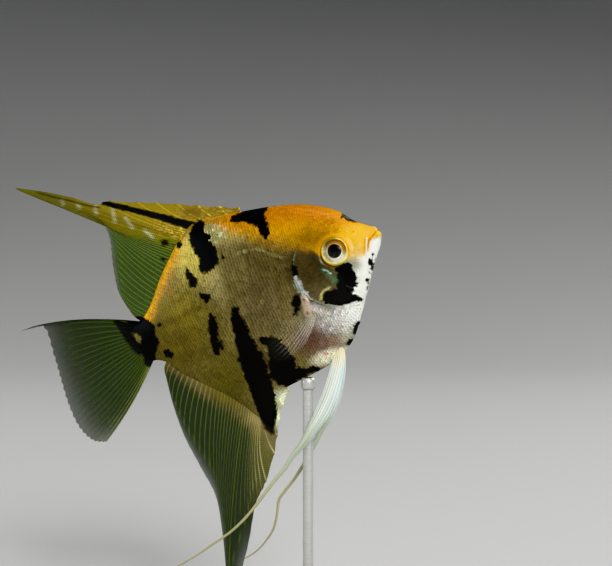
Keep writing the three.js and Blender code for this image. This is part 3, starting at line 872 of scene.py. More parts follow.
        # the specks that take the painted glitter highlights
        glint = smooth(0.15, 0.6, grain(x, z, 0.62, 61))
        paint = layered(flat(FLANK, x), [(tint.colour, tint.weight(x, z)) for tint in TINTS]
                        + [(tint.colour, glint * tint.weight(x, z)) for tint in GLINTS])
        mottle = 1 + (0.16 * grain(x, z, 3.4, 63) + 0.12 * grain(x * 1.6, z, 1.3, 64)) * smooth(66, 58, x)
        paint = paint * np.maximum(mottle, 0.5)[..., None]
        return layered(paint, self.details(x, z))

    def painted(self, x: Array, z: Array, side: Array) -> Array:
        """The whole coat with its marks.

        Args:
            x: places along the fish.
            z: places up the fish.
            side: places across it; its sign tells the flank.

        Returns:
            Linear colour for each place.
        """
        return layered(self.colour(x, z), [(BLACK, self.black(x, z, side))] + [
            (colour, strength * bump(path_distance(x, z, line)[0], width) * (both | (side < 0)))
            for line, colour, width, strength, both in STREAKS])


COAT = Coat()


# ---- finishes ----


class Nodes:
    """A short way to build a node material."""

    def __init__(self, name: str) -> None:
        """Starts a material with one surface shader.

        Args:
            name: the finish's name.
        """
        self.material = bpy.data.materials.new(name)
        self.material.use_nodes = True
        self.tree = self.material.node_tree
        self.shader = self.tree.nodes["Principled BSDF"]

    def add(self, kind: str, **settings: object) -> bpy.types.Node:
        """Adds a node.

        Args:
            kind: the node's type.
            settings: its properties and inputs by name.

        Returns:
            The node.
        """
        made = self.tree.nodes.new(kind)
        for key, value in settings.items():
            if hasattr(made, key):
                setattr(made, key, value)
            else:
                made.inputs[key].default_value = value
        return made

    def join(self, source: Socket, target: Socket) -> None:
        """Links an output to an input."""
        self.tree.links.new(source, target)

    def give(self, source: Socket, name: str) -> None:
        """Links an output to one of the shader's inputs."""
        self.join(source, self.shader.inputs[name])

    def value(self, name: str) -> Socket:
        """A number painted on the mesh."""
        return self.add("ShaderNodeAttribute", attribute_name=name).outputs["Fac"]

    def noise(self, scale: float, detail: float = 3.0, stretch: Colour = (1, 1, 1)) -> Socket:
        """Solid noise fixed to the piece's own coordinates.

        Args:
            scale: how fine it is, in lumps a metre.
            detail: how many finer layers it has.
            stretch: how much finer it is along each axis.

        Returns:
            The noise, mostly within NOISE_SPAN.
        """
        where, mapping = self.add("ShaderNodeTexCoord"), self.add("ShaderNodeMapping", Scale=stretch)
        noise = self.add("ShaderNodeTexNoise", Scale=scale, Detail=detail)
        self.join(where.outputs["Object"], mapping.inputs["Vector"])
        self.join(mapping.outputs["Vector"], noise.inputs["Vector"])
        return noise.outputs["Fac"]

    def ranged(self, source: Socket, low: float, high: float,
               span: Pair = (0.0, 1.0)) -> Socket:
        """Maps a value to a new range and holds it there.

        Args:
            source: the value.
            low: what the span's start becomes.
            high: what its end becomes.
            span: the value's own range.

        Returns:
            The mapped value.
        """
        node = self.add("ShaderNodeMapRange", **{
            "From Min": span[0], "From Max": span[1], "To Min": low, "To Max": high})
        self.join(source, node.inputs["Value"])
        return node.outputs["Result"]

    def speckle(self, scale: float, detail: float, amount: float) -> Socket:
        """A factor that wanders about 1, up and down by amount."""
        return self.ranged(self.noise(scale, detail), 1 - amount, 1 + amount, NOISE_SPAN)

    def math(self, operation: str, a: object, b: object) -> Socket:
        """Works out one sum.

        Args:
            operation: the sum's name.
            a: its first socket or number.
            b: its second.

        Returns:
            The result.
        """
        node = self.add("ShaderNodeMath", operation=operation)
        for socket, value in zip(node.inputs, (a, b)):
            if isinstance(value, (int, float)):
                socket.default_value = value
            else:
                self.join(value, socket)
        return node.outputs["Value"]

    def painted(self, shade: Socket) -> None:
        """Colours the shader with the mesh's own paint.

        Args:
            shade: a factor that makes the paint lighter or darker.
        """
        node = self.add("ShaderNodeVectorMath", operation="SCALE")
        self.join(self.add("ShaderNodeAttribute", attribute_name="coat").outputs["Color"], node.inputs[0])
        self.join(shade, node.inputs["Scale"])
        self.give(node.outputs["Vector"], "Base Color")

    def bumped(self, height: Socket, strength: float, distance: float) -> None:
        """Gives the surface a fine relief.

        Args:
            height: the relief's heights, from 0 to 1.
            strength: how strongly it shows.
            distance: its depth in metres.
        """
        node = self.add("ShaderNodeBump", Strength=strength, Distance=distance)
        self.join(height, node.inputs["Height"])
        self.give(node.outputs["Normal"], "Normal")

    def set(self, **values: object) -> None:
        """Sets plain numbers on the shader, by input name with spaces as underscores."""
        for key, value in values.items():
            self.shader.inputs[key.replace("_", " ")].default_value = value


class Finish:
    """What every finish does; each one wires its own nodes."""

    def dress(self, n: Nodes) -> None:
        """Wires the finish's nodes."""
        raise NotImplementedError

    def material(self, name: str) -> Material:
        """Builds the finish.

        Args:
            name: the material's name.

        Returns:
            The material.
        """
        nodes = Nodes(name)
        self.dress(nodes)
        return nodes.material


@dataclass(frozen=True)
class WetSkin(Finish):
    """Bare wet skin: painted coat colours, fine speckle and a clear wet film."""

    speckle: float = 3200.0
    pebble: float = 1500.0

    def dress(self, n: Nodes) -> None:
        """Wires the finish's nodes.

        Args:
            n: the material they belong to.
        """
        n.painted(n.speckle(self.speckle, 4, 0.22))
        n.give(n.ranged(n.noise(self.pebble), 0.3, 0.5, NOISE_SPAN), "Roughness")
        n.bumped(n.noise(self.pebble, 5), 0.35, 0.00012)
        n.set(Metallic=0.08, Subsurface_Weight=0.1, Subsurface_Scale=0.0005,
              Subsurface_Radius=(1.0, 0.7, 0.5), Coat_Weight=0.1, Coat_Roughness=0.28, Coat_IOR=WATER_FILM,
              Specular_IOR_Level=0.2)


@dataclass(frozen=True)
class ScaleSheen(Finish):
    """Pearly scales: painted coat colours, with painted shade where each is overlapped and a painted
    highlight on its free margin.
    """

    covered_dark: float = 0.76
    margin_light: float = 1.55
    metal: float = 0.35

    def dress(self, n: Nodes) -> None:
        """Wires the finish's nodes.

        Args:
            n: the material they belong to.
        """
        edge, luck = n.value("edge"), n.value("luck")
        # painted shade where the scale comes out from under the one ahead, and a painted highlight on its
        # free margin
        overlap = n.ranged(edge, self.covered_dark, 1.05, (0.6, 0.92))
        margin = n.ranged(edge, 1.0, self.margin_light, (0.88, 0.97))
        pattern = n.math("MULTIPLY", n.math("MULTIPLY", overlap, margin), n.ranged(luck, 0.8, 1.22))
        pattern = n.math("MULTIPLY", n.math("SUBTRACT", pattern, 1.0), n.value("crisp"))
        n.painted(n.math("MULTIPLY", n.math("ADD", pattern, 1.0), n.speckle(5200, 3, 0.12)))
        n.give(n.ranged(luck, 0.3, 0.44), "Roughness")
        n.bumped(n.noise(4200, 3), 0.2, 0.00006)
        n.set(Metallic=self.metal, Coat_Weight=0.15, Coat_Roughness=0.25, Coat_IOR=WATER_FILM,
              Specular_IOR_Level=0.35)


@dataclass(frozen=True)
class FinWeb(Finish):
    """Fin rays and the clear skin between them: painted colour, see-through where painted clear."""

    rough: float = 0.38
    speckle: float = 0.18
    joints: float = 0.3
    joint_step: float = 0.62

    def dress(self, n: Nodes) -> None:
        """Wires the finish's nodes.

        Args:
            n: the material they belong to.
        """
        wave = n.math("SINE", n.math("MULTIPLY", n.value("run"), 2 * math.pi / self.joint_step), 0.0)
        wave = n.math("MULTIPLY", wave, n.ranged(n.value("ridge"), 0.5 * self.joints, self.joints))
        n.painted(n.math("MULTIPLY", n.speckle(2600, 4, self.speckle), n.math("ADD", wave, 1.0)))
        n.give(n.value("cover"), "Alpha")
        n.bumped(n.noise(3000, 3), 0.2, 0.00006)
        n.set(Roughness=self.rough, Coat_Weight=0.2, Coat_Roughness=0.2, Coat_IOR=WATER_FILM,
              Specular_IOR_Level=0.35)


@dataclass(frozen=True)
class EyeGloss(Finish):
    """Painted iris and pupil under a wet film."""

    def dress(self, n: Nodes) -> None:
        """Wires the finish's nodes.

        Args:
            n: the material they belong to.
        """
        n.painted(n.speckle(6500, 4, 0.25))
        n.give(n.value("metal"), "Metallic")
        n.bumped(n.noise(5200, 3), 0.25, 0.00006)
        n.set(Roughness=0.3, Coat_Weight=0.3, Coat_Roughness=0.06, Coat_IOR=WATER_FILM,
              Specular_IOR_Level=0.3)


@dataclass(frozen=True)
class Cornea(Finish):
    """The clear dome over the eye."""

    def dress(self, n: Nodes) -> None:
        """Wires the finish's nodes."""
        n.set(Base_Color=(1, 1, 1, 1), Metallic=1.0, Roughness=0.03, Alpha=0.03)


@dataclass(frozen=True)
class StandFinish(Finish):
    """A plain made surface with fine grain along one direction."""

    colour: Colour
    roughness: float
    metallic: float
    grain: float
    stretch: tuple[float, float, float]
    depth: float

    def dress(self, n: Nodes) -> None:
        """Wires the finish's nodes.

        Args:
            n: the material they belong to.
        """
        noise = n.noise(self.grain, 4.0, self.stretch)
        mix = n.add("ShaderNodeMix", data_type="RGBA")
        for socket, shade in ((6, 0.8), (7, 1.25)):
            mix.inputs[socket].default_value = tuple(linear(self.colour) * shade) + (1.0,)
        n.join(noise, mix.inputs["Factor"])
        n.give(mix.outputs[2], "Base Color")
        n.give(n.ranged(noise, self.roughness - 0.06, self.roughness + 0.08, NOISE_SPAN), "Roughness")
        n.bumped(noise, 0.3, self.depth)
        n.set(Metallic=self.metallic)


# ---- skin ----


@dataclass
class Skin:
    """One skin over the whole flesh, with the folds of the face."""

    head_from: float = 50.0
    head_step: float = 0.16
    trunk_step: float = 0.5
    end_steps: int = 10
    columns: int = 380

    def stations(self) -> Array:
        """Sets the rings of vertices, close together on the head and at the two ends.

        Returns:
            Their places along the fish, snout first.
        """
        round_ends = 1 - np.cos(np.linspace(0.06, math.pi / 2, self.end_steps))
        snout = FORM.length - FORM.snout_round * round_ends
        stalk = FORM.stalk_end + FORM.stalk_round * round_ends[::-1]
        head = np.arange(snout[-1] - self.head_step, self.head_from, -self.head_step)
        trunk = np.arange(self.head_from, stalk[0] + self.trunk_step / 2, -self.trunk_step)
        return np.concatenate([snout, head, trunk, stalk])

    def build(self) -> None:
        """Makes the skin, which replaces every node of flesh."""
        x = self.stations()
        angle = np.linspace(0, 2 * math.pi, self.columns, endpoint=False)
        form = FORM.ring(x[:, None], angle[None, :], -SKIN_DEPTH)
        along = np.gradient(form, axis=0)
        wrapped = np.concatenate([form[:, -1:], form, form[:, :1]], 1)
        around = (wrapped[:, 2:] - wrapped[:, :-2]) / 2
        normal = normalised(np.cross(along, around))
        outward = np.sign((normal[..., 1] * form[..., 1]).sum())
        places = form + normal * outward * relief(form[..., 0], form[..., 2], form[..., 1])[..., None]
        rows = len(x)
        ends = np.stack([places[0].mean(0), places[-1].mean(0)])
        points = np.concatenate([places.reshape(-1, 3), ends])
        u, v = map_steps(rows), map_steps(self.columns + 1)
        caps, cap_uv = self.caps(rows, u, v)
        faces = np.concatenate([grid_faces(rows, self.columns, wraps=True), caps])
        sheet = Sheet(points, faces, np.concatenate([grid_uv(u, v, wraps=True), cap_uv])).outward()
        where = np.concatenate([form.reshape(-1, 3), ends])
        sheet.values["coat"] = COAT.painted(where[:, 0], where[:, 2], where[:, 1])
        made = sheet.object("skin", WetSkin().material("wet skin"), "skin")
        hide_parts("head", "lower_jaw", "gill_cover_right", "gill_cover_left", "trunk", "tail_stalk")

    def caps(self, rows: int, u: Array, v: Array) -> tuple[Array, Array]:
        """Closes the two ends with quads that meet in a middle vertex, two columns each.

        Args:
            rows: how many rings the skin has.
            u: the bake map's step for each ring.
            v: its step for each column, and one past the seam.

        Returns:
            The quads and their places on the bake map.
        """
        j = np.arange(0, self.columns, 2)
        quads, spots = [], []
        for end, edge, at, steps in ((0, BAKE_EDGE / 2, u[0], (2, 1, 0)),
                                     (1, 1 - BAKE_EDGE / 2, u[-1], (0, 1, 2))):
            first = end * (rows - 1) * self.columns
            middle = np.full(len(j), rows * self.columns + end)
            quads.append(np.stack([middle] + [first + (j + k) % self.columns for k in steps], -1))
            places = [(edge, v[j + 1])] + [(at, v[j + k]) for k in steps]
            spots.append(np.stack([np.stack([np.full(len(j), a), b], -1) for a, b in places], 1))
        return np.concatenate(quads), np.concatenate(spots)


# ---- scales ----


@dataclass(frozen=True)
class Shingle:
    """One scale: a thin rounded shield, rooted ahead and free behind, with a rim of real depth."""

    across: int = 7
    along: int = 5
    rim: float = 0.45
    taper: Pair = (0.12, 0.05)
    neck: float = 0.84
    rooted: float = 0.35
    crown: float = 0.12

    def template(self) -> tuple[Array, Array]:
        """Shapes one scale of unit size.

        Returns:
            Its vertices as (rearward, sideways, height, edge), and its quads.
        """
        side = np.linspace(-1, 1, self.across)
        back = np.linspace(0, 1, self.along)
        s, c = np.meshgrid(back, side, indexing="ij")
        rear = s * (1 - self.taper[0] * c**2 - self.taper[1] * c**4)
        width = c * (self.neck + (1 - self.neck) * np.sin(math.pi * np.clip(rear * 1.1, 0, 1)))
        height = (1 + self.rooted) * rear - self.rooted - self.crown * c**2
        top = np.stack([rear, width, height, s], -1).reshape(-1, 4)
        lip = top[self.rim_loop()]
        low = lip.copy()
        low[:, 2] -= self.rim
        quads = grid_faces(self.along, self.across)
        first, count = len(top), len(lip)
        k = np.arange(count - 1) + first
        skirt = np.stack([k, k + 1, k + count + 1, k + count], -1)
        return np.concatenate([top, lip, low]), np.concatenate([quads, skirt])

    def rim_loop(self) -> Array:
        """The template's vertices down one side, round the free end and up the other side."""
        grid = np.arange(self.along * self.across).reshape(self.along, self.across)
        return np.concatenate([grid[1:-1, 0], grid[-1], grid[1:-1, -1][::-1]])


@dataclass
class Bed:
    """Where a patch of scales is rooted: places, directions and sizes in millimetres."""

    root: Array
    rear: Array
    up: Array
    normal: Array
    length: Array
    width: Array
    lift: Array
    patch: Array
    side: Array


@dataclass
class ScaleCoat:
    """Overlapping scales over a bed, as one joined mesh."""

    shingle: Shingle = Shingle()
    patch: float = 0.003
    tilt: float = 0.05
    swing: float = 0.2
    ragged: float = 0.45
    nape_soft: float = 0.5

    def sheet(self, bed: Bed, seed: float) -> Sheet:
        """Lays a scale on each root.

        Args:
            bed: the roots.
            seed: picks the chance differences.

        Returns:
            The joined scales, painted.
        """
        template, quads = self.shingle.template()
        count, size = len(bed.root), len(template)
        luck, lean, swing = (
            scatter(np.arange(count), np.full(count, draw), seed) for draw in (7.0, 3.0, 5.0))
        s, c, h, edge = (template[:, k][None, :] for k in range(4))
        turn = self.swing * (swing[:, None] - 0.5)
        s2, c2 = s * bed.length[:, None], c * bed.width[:, None] / 2
        s2, c2 = s2 - c2 * turn, c2 + s2 * turn
        tall = h * bed.lift[:, None] + self.tilt * (lean[:, None] - 0.5) * c * bed.width[:, None]
        points = (bed.root[:, None] + s2[..., None] * bed.rear[:, None] + c2[..., None] * bed.up[:, None]
                  + tall[..., None] * bed.normal[:, None])
        faces = (quads[None] + (np.arange(count) * size)[:, None, None]).reshape(-1, 4)
        u = bed.patch[:, 0, None] + (s - 0.5) * self.patch
        v = bed.patch[:, 1, None] + c * self.patch / 2
        spots = np.stack(np.broadcast_arrays(u, v), -1).reshape(-1, 2)
        sheet = Sheet(points.reshape(-1, 3), faces, spots[faces])
        middle = bed.root[:, None] + 0.5 * bed.length[:, None, None] * bed.rear[:, None]
        side = np.repeat(bed.side, size)
        taken = (middle + self.ragged * (points - middle)).reshape(-1, 3)
        sheet.values["coat"] = COAT.painted(taken[:, 0], taken[:, 2], side)
        sheet.values["edge"] = np.broadcast_to(edge, (count, size)).ravel().copy()
        sheet.values["luck"] = np.repeat(luck, size)
        at_x, at_z = bed.root[:, 0], bed.root[:, 2]
        nape = smooth(-2.0, 4.0, at_z - COAT.orange_edge(at_x)) * smooth(44, 52, at_x)
        sheet.values["crisp"] = np.repeat(1.0 - self.nape_soft * nape, size)
        return sheet


@dataclass(frozen=True)
class Lattice:
    """Roots in staggered rows that draw closer away from a middle, as on a real flank.

    The ease is how far that takes, ahead of the middle, behind, above and below it.
    """

    middle: Pair = (45.0, 2.0)
    step: float = 0.96
    row: float = 1.2
    ease: tuple[float, float, float, float] = (15.0, 45.0, 24.0, 30.0)

    def roots(self) -> tuple[Array, Array, Array]:
        """Lays out the lattice, well past the fish's outline.

        Returns:
            The roots' x and z, and how far the rows have drawn together there, as a share.
        """
        i, j = np.meshgrid(np.arange(-90, 91), np.arange(-60, 61), indexing="ij")
        a = i * self.step
        b = (j + 0.5 * (i % 2)) * self.row
        ahead, behind, up, down = self.ease
        q = np.hypot(a / np.where(a > 0, ahead, behind), b / np.where(b > 0, up, down))
        q = np.maximum(q, 1e-6)
        pull = np.arcsinh(q) / q
        share = (pull + 1 / np.sqrt(1 + q * q)) / 2
        return (self.middle[0] + a * pull).ravel(), (self.middle[1] + b * pull).ravel(), share.ravel()


class Region(IntEnum):
    """The parts of the fish with a coat of their own."""

    BALD = 0
    AFT = 1
    FORE = 2
    NAPE = 3
    BREAST = 4
    CHEEK = 5


@dataclass
class BodyScales:
    """The coat of scales on both flanks and the small ones of the cheeks and gill covers."""

    flank: Lattice = Lattice()
    cheek: Lattice = Lattice((58.0, -3.0), step=0.46, row=0.62, ease=(24.0, 60.0, 60.0, 60.0))
    nape: Lattice = Lattice((58.0, 8.0), step=0.7, row=0.9, ease=(30.0, 60.0, 40.0, 40.0))
    breast: Lattice = Lattice((54.0, -18.0), step=0.68, row=0.88, ease=(30.0, 40.0, 40.0, 40.0))
    split: float = 36.0
    ends: Pair = (-0.6, 69.0)
    nape_corner: Pair = (51.5, 5.2)
    breast_corner: Pair = (50.5, -12.6)
    cover_corner: Pair = (53.0, -15.4)
    cheek_corner: Pair = (65.5, -13.8)
    fore_end: float = 56.8
    breast_end: float = 66.0
    edge_gap: float = 0.6
    eye_gap: float = 1.5
    fin_gap: float = 1.2
    rim_gap: float = 0.8
    cheek_rim_gap: float = 0.7
    length: float = 2.8
    width: float = 1.5
    jitter: float = 0.08
    set_back: float = 0.35
    map_start: float = -4.0
    map_length: float = 84.0

    def region(self, x: Array, z: Array) -> Array:
        """Which coat grows at a place.

        Args:
            x: places along the fish.
            z: places up the fish.

        Returns:
            The regions' numbers.
        """
        rim, rim_side, _ = path_distance(x, z, GILL_RIM)
        eye = np.hypot(x - EYE_AT[0], z - EYE_AT[1])
        cover = (rim_side > 0) & (z < self.nape_corner[1])
        cover &= (x > self.cover_corner[0]) & (z > self.cover_corner[1])
        kind = np.where(x < self.split, Region.AFT, Region.FORE)
        kind = np.where((x > self.nape_corner[0]) & (z > self.nape_corner[1]), Region.NAPE, kind)
        low = (x > self.breast_corner[0]) & (z < self.breast_corner[1])
        kind = np.where(low & ~cover, Region.BREAST, kind)
        kind = np.where(cover, Region.CHEEK, kind)
        bald = (x < self.ends[0]) | (x > self.ends[1])
        bald |= np.minimum(FORM.back(x) - z, z - FORM.belly(x)) < self.edge_gap
        bald |= eye < EYE_RADIUS + self.eye_gap
        bald |= path_distance(x, z, PECTORAL_BASE)[0] < self.fin_gap
        bald |= (kind == Region.BREAST) & (x > self.breast_end)
        bald |= (kind == Region.FORE) & (x > self.fore_end)
        bald |= (kind == Region.CHEEK) & ((x > self.cheek_corner[0]) | (z < self.cheek_corner[1]))
        bald |= rim < np.where(kind == Region.CHEEK, self.cheek_rim_gap, self.rim_gap)
        return np.where(bald, Region.BALD, kind)

    def bed(self, lattice: Lattice, kind: Region, side: Side, lift: float) -> Bed:
        """Finds the roots on one flank.

        Args:
            lattice: the rows they lie in.
            kind: the region.
            side: the flank.
            lift: how high a full-size scale's free edge stands over the skin.

        Returns:
            The bed.
        """
        x, z, share = lattice.roots()
        grown = np.flatnonzero(self.region(x, z) == kind)
        grown = grown[np.argsort(x[grown])]
        x, z, share = x[grown], z[grown], share[grown]
        x = x + 0.35 * grain(x, z, 7.0, 51) + 0.12 * grain(x, z, 2.1, 52)
        z = z + 0.35 * grain(x, z, 6.0, 53) + 0.12 * grain(x, z, 1.9, 54)
        jitter = self.jitter * lattice.step
        x = x + jitter * (2 * scatter(x, z, 1.0) - 1)
        z = z + jitter * (2 * scatter(x, z, 2.0) - 1)
        here, rear, up, normal = FORM.flank_frame(x, z, side, -SKIN_DEPTH)
        here = here + normal * relief(x, z, here[:, 1])[:, None]
        size = share * (0.45 + 0.55 * np.abs(normal[:, 1]))
        margin = np.minimum(FORM.back(x) - z, z - FORM.belly(x))
        across = lattice.row * self.width * size * (0.5 + 0.5 * smooth(0.4, 2.2, margin))
        reach = lattice.step * self.length * share * (0.5 + 0.5 * smooth(0.3, 3.0, margin))
        around = np.arccos(np.clip((z - FORM.axis(x)) / FORM.reach(x, z - FORM.axis(x)), -1, 1)) / math.pi
        along = (x - self.map_start) / self.map_length
        patch = BAKE_EDGE + (1 - 2 * BAKE_EDGE) * np.stack([along, around], -1)
        start = here - rear * (reach * self.set_back)[:, None]
        low = (smooth(70, 60, x) * 0.7 + 0.3) * (0.2 + 0.8 * smooth(0.4, 2.0, margin))
        return Bed(start, rear, up, normal, reach, across, lift * share * low, patch,
                   np.full(len(x), float(side.value)))

    def build(self) -> None:
        """Makes the coats of both flanks and both sides of the head."""
        sheen = ScaleSheen().material("pearly scales")
        fine = ScaleSheen(covered_dark=0.86, margin_light=1.08, metal=0.15).material("fine head scales")
        coat = ScaleCoat()
        for side in Side:
            for kind, lattice, lift, finish in (
                (Region.AFT, self.flank, 0.11, sheen), (Region.FORE, self.flank, 0.11, sheen),
                (Region.NAPE, self.nape, 0.06, sheen), (Region.BREAST, self.breast, 0.09, sheen),
                (Region.CHEEK, self.cheek, 0.06, fine),
            ):
                sheet = coat.sheet(self.bed(lattice, kind, side, lift), 11.0 + side.value)
                sheet = sheet if side is Side.RIGHT else sheet.flipped()
                sheet.object(f"{kind.name.lower()}_scales_{side.word}", finish, "skin")


# ---- fins ----


def slab(right: Array, left: Array, paint: dict[str, Array]) -> Sheet:
    """Closes two faces of a thin fin into one solid skin.

    Args:
        right: the right face's vertices, (rows, columns, 3), root first.
        left: the left face's, laid out alike.
        paint: values for the faces, (rows, columns) or (rows, columns, 3), the same on both.

    Returns:
        The closed sheet.
    """
    rows, columns = right.shape[:2]
    ring = np.concatenate([right, left[:, ::-1]], 1)
    width = 2 * columns
    v = map_steps(rows)
    half = np.linspace(BAKE_EDGE, 0.5 - BAKE_EDGE, columns)
    u = np.concatenate([half, 0.5 + half, [0.99]])
    faces = [grid_faces(rows, width, wraps=True)]
    spots = [grid_uv(v, u, wraps=True)[..., ::-1]]
    j = np.arange(columns - 1)
    for row, low, high, turned in ((0, 0.005, 0.012, False), (rows - 1, 0.995, 0.988, True)):
        start = row * width
        cap = np.stack([start + j + 1, start + j, start + width - 1 - j, start + width - 2 - j], -1)
        cap_u = np.stack([half[j + 1], half[j], half[j], half[j + 1]], -1)
        cap_v = np.broadcast_to([low, low, high, high], cap_u.shape)
        pair = np.stack([cap_u, cap_v], -1)
        faces.append(cap[:, ::-1] if turned else cap)
        spots.append(pair[:, ::-1] if turned else pair)
    values = {}
    for key, value in paint.items():
        both = np.concatenate([value, value[:, ::-1]], 1)
        values[key] = both.reshape((-1,) + both.shape[2:])
    return Sheet(ring.reshape(-1, 3), np.concatenate(faces), np.concatenate(spots), values).outward()


@dataclass
class FinPlan:
    """Where a fin's surface lies: its places, how far along and across, and the ridges of its rays."""

    along: Array
    across: Array
    ridge: Array
    run: Array
    x: Array
    z: Array

    def chance(self, size: float, seed: float) -> Array:
        """A random field over the fin, in lumps of the given size."""
        return grain(self.x, self.z, size, seed)

    def off(self, path: Line) -> Array:
        """How far the fin's places lie from a line."""
        return path_distance(self.x, self.z, path)[0]

    def black(self) -> Array:
        """How black the right flank's marks are where they run on over the fin."""
        return COAT.black(self.x, self.z, -np.ones_like(self.x))


@dataclass
class RayFin:
    """A fin of many rays with clear skin between them.

    The control rays give its outline, as (root x, root z, tip x, tip z) in the fish's frame. The real
    rays, far more of them, are spread evenly between: spines first, unbranched, then soft rays that
    fork towards the margin.
    """

    node: str
    slot: str
    rays: Line
    spines: int
    soft: int
    spine_share: float
    paint: Callable[[FinPlan], tuple[Array, Array]]
    bow: Pair = (1.2, 1.2)
    sway: float = 1.4
    waves: float = 2.0
    rows: int = 56
    spine_radius: Pair = (0.36, 0.15)
    soft_radius: Pair = (0.24, 0.1)
    web: float = 0.07
    notch: float = 0.5
    scallop: float = 0.3
    side: float = 0.0
    root_y: float = 0.0
    spread: float = 0.0
    cup: float = 0.0
    step_in: tuple[float, ...] = (0.0, 0.09, 0.2, 0.36, 0.5, 0.64, 0.8, 0.91)

    def columns(self) -> tuple[Array, Array, Array, Array]:
        """The columns' places across, and for each the gap to its nearest ray and that ray's kind.

        Returns:
            The place from 0 to 1, the signed share of the gap from the nearest ray, the width of
            the gap as a share of the fin, and 1 for spines or 0 for soft rays.
        """
        front = np.linspace(0, self.spine_share, self.spines) if self.spines else np.zeros(0)
        rear = np.linspace(self.spine_share, 1, self.soft + (1 if self.spines else 0))
        rays = np.concatenate([front, rear[1:] if self.spines else rear])
        steps, width = np.array(self.step_in), np.diff(rays)
        nearest = np.arange(len(width))[:, None] + (steps > 0.5)
        place = np.append(rays[:-1, None] + steps * width[:, None], 1.0)
        offset = np.append(np.tile(steps - (steps > 0.5), len(width)), 0.0)
        gap = np.append(np.repeat(width, len(steps)), width[-1])
        return place, offset, gap, np.append(nearest < self.spines, not self.soft).astype(float)

    def build(self, material: Material) -> None:
        """Makes the fin, which replaces its node.

        Args:
            material: its finish.
        """
        across, offset, gap, spiny = self.columns()
        rays = np.array(self.rays, float)
        root, tip = spline(rays[:, :2], across), spline(rays[:, 2:], across)
        ray = tip - root
        length = np.maximum(np.linalg.norm(ray, axis=-1), 0.5)
        cut = np.where(spiny > 0, self.notch, self.scallop) * (np.abs(offset) * 2) ** 0.8
        reach = 1 - np.minimum(cut / length, 0.3)
        b = np.linspace(0, 1, self.rows)[:, None] ** 0.92 * reach[None, :]
        rise = self.bow[0] + (self.bow[1] - self.bow[0]) * across
        arch = 4 * b * (1 - b) * (rise / length)[None, :]
        x = root[:, 0] + ray[:, 0] * b - ray[:, 1] * arch
        z = root[:, 1] + ray[:, 1] * b + ray[:, 0] * arch
        spacing = np.hypot(np.gradient(x, axis=1), np.gradient(z, axis=1)) / np.gradient(across)
        reach_mm = np.abs(offset) * gap * spacing
        fork = np.where(spiny > 0, 0.0, 0.16 * smooth(0.55, 1.0, b) * gap * spacing)
        first = self.spine_radius[0] + (self.spine_radius[1] - self.spine_radius[0]) * b
        second = self.soft_radius[0] + (self.soft_radius[1] - self.soft_radius[0]) * b
        radius = np.where(spiny > 0, first, second)
        ridge = bump(reach_mm - fork, radius * 0.8)
        half = self.web + (radius - self.web * 0.5) * ridge
        half = half * smooth(1.0, 0.97, b) + 0.03
        y = self.sway * b**2 * np.sin(self.waves * math.pi * across)
        if self.side:
            y = self.side * (self.root_y + self.spread * b + self.cup * np.sin(math.pi * across) * b)
        plan = FinPlan(b, np.broadcast_to(across, b.shape), ridge, b * length, x, z)
        colour, cover = self.paint(plan)
        right, left = np.stack([x, y - half, z], -1), np.stack([x, y + half, z], -1)
        sheet = slab(right, left, {"coat": colour, "cover": np.clip(cover, 0, 1), "run": plan.run,
                                   "ridge": ridge})
        made = sheet.object(f"{self.node}_skin", material, self.slot)
        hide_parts(self.node)


# the dorsal fin's black stripe, with its radius, the thread behind it, the pale bars and a brown painted
# shade above the stripe
DORSAL_STRIPE = [(29.9, 23.6, 1.5), (27.4, 25.5, 1.4), (24.2, 28.1, 1.25), (21, 30.7, 1.15), (17.8, 33.2, 1),
                 (14.5, 35.7, 0.95), (11.2, 38.1, 0.9), (7.8, 40.7, 0.85), (4.3, 43.2, 0.75), (1, 46, 0.5),
                 (-2.9, 49.3, 0.34), (-6.3, 52.1, 0.22), (-14.5, 56.6, 0.1)]
DORSAL_THREAD = [(2.6, 42.4), (-1.1, 44.9), (-4.9, 47.9), (-10.1, 51.7), (-14.2, 55)]
DORSAL_BARS = [[(6.3, 40.6), (5.8, 36.5)], [(1.4, 43.3), (1.1, 41.1)], [(-3.3, 46.4), (-3.4, 44.8)],
               [(-7.7, 49.4), (-7.8, 48.2)], [(9.2, 36.1), (10.3, 32.5)], [(13.7, 30.2), (15, 27.2)]]
DORSAL_SHADE_PATCH = [(27.6, 30.4), (31, 28)]

# the lower edge of the scaled, body-coloured band along the anal fin's root
ANAL_BAND = [(2.8, -6.6), (6.1, -11.9), (9.4, -17.3), (12.5, -22.1), (15.4, -25.3), (18.3, -28.4),
             (20.3, -31.6), (21.7, -34.1), (23.2, -38.3), (24.3, -42.6)]

CLEAR_OLIVE = (0.2, 0.3, 0.07)
OLIVE_RAY = (0.44, 0.5, 0.18)
DORSAL_OCHRE = (0.47, 0.45, 0.05)
DORSAL_STRAW = (0.6, 0.56, 0.14)
DORSAL_YELLOW = (0.9, 0.77, 0.16)
SCALY_TAN = (0.56, 0.46, 0.15)
SCALY_LIGHT = (0.9, 0.82, 0.42)
WEB_BROWN = (0.42, 0.33, 0.09)
WEB_OLIVE = (0.3, 0.32, 0.1)
BAR_LIGHT = (0.88, 0.9, 0.78)
THREAD_BROWN = (0.1, 0.06, 0.02)
SHADE_PATCH_BROWN = (0.34, 0.26, 0.08)
ROOT_ORANGE = (0.82, 0.58, 0.12)
ANAL_WEB = (0.11, 0.165, 0.04)
ANAL_RAY = (0.42, 0.47, 0.22)
FRONT_WEB = (0.42, 0.41, 0.22)
FRONT_RAY = (0.8, 0.78, 0.58)
FRONT_BLUE = (0.66, 0.74, 0.72)
FRONT_EDGE = (0.84, 0.83, 0.68)
TAIL_WEB = (0.11, 0.17, 0.025)
TAIL_RAY = (0.28, 0.35, 0.08)
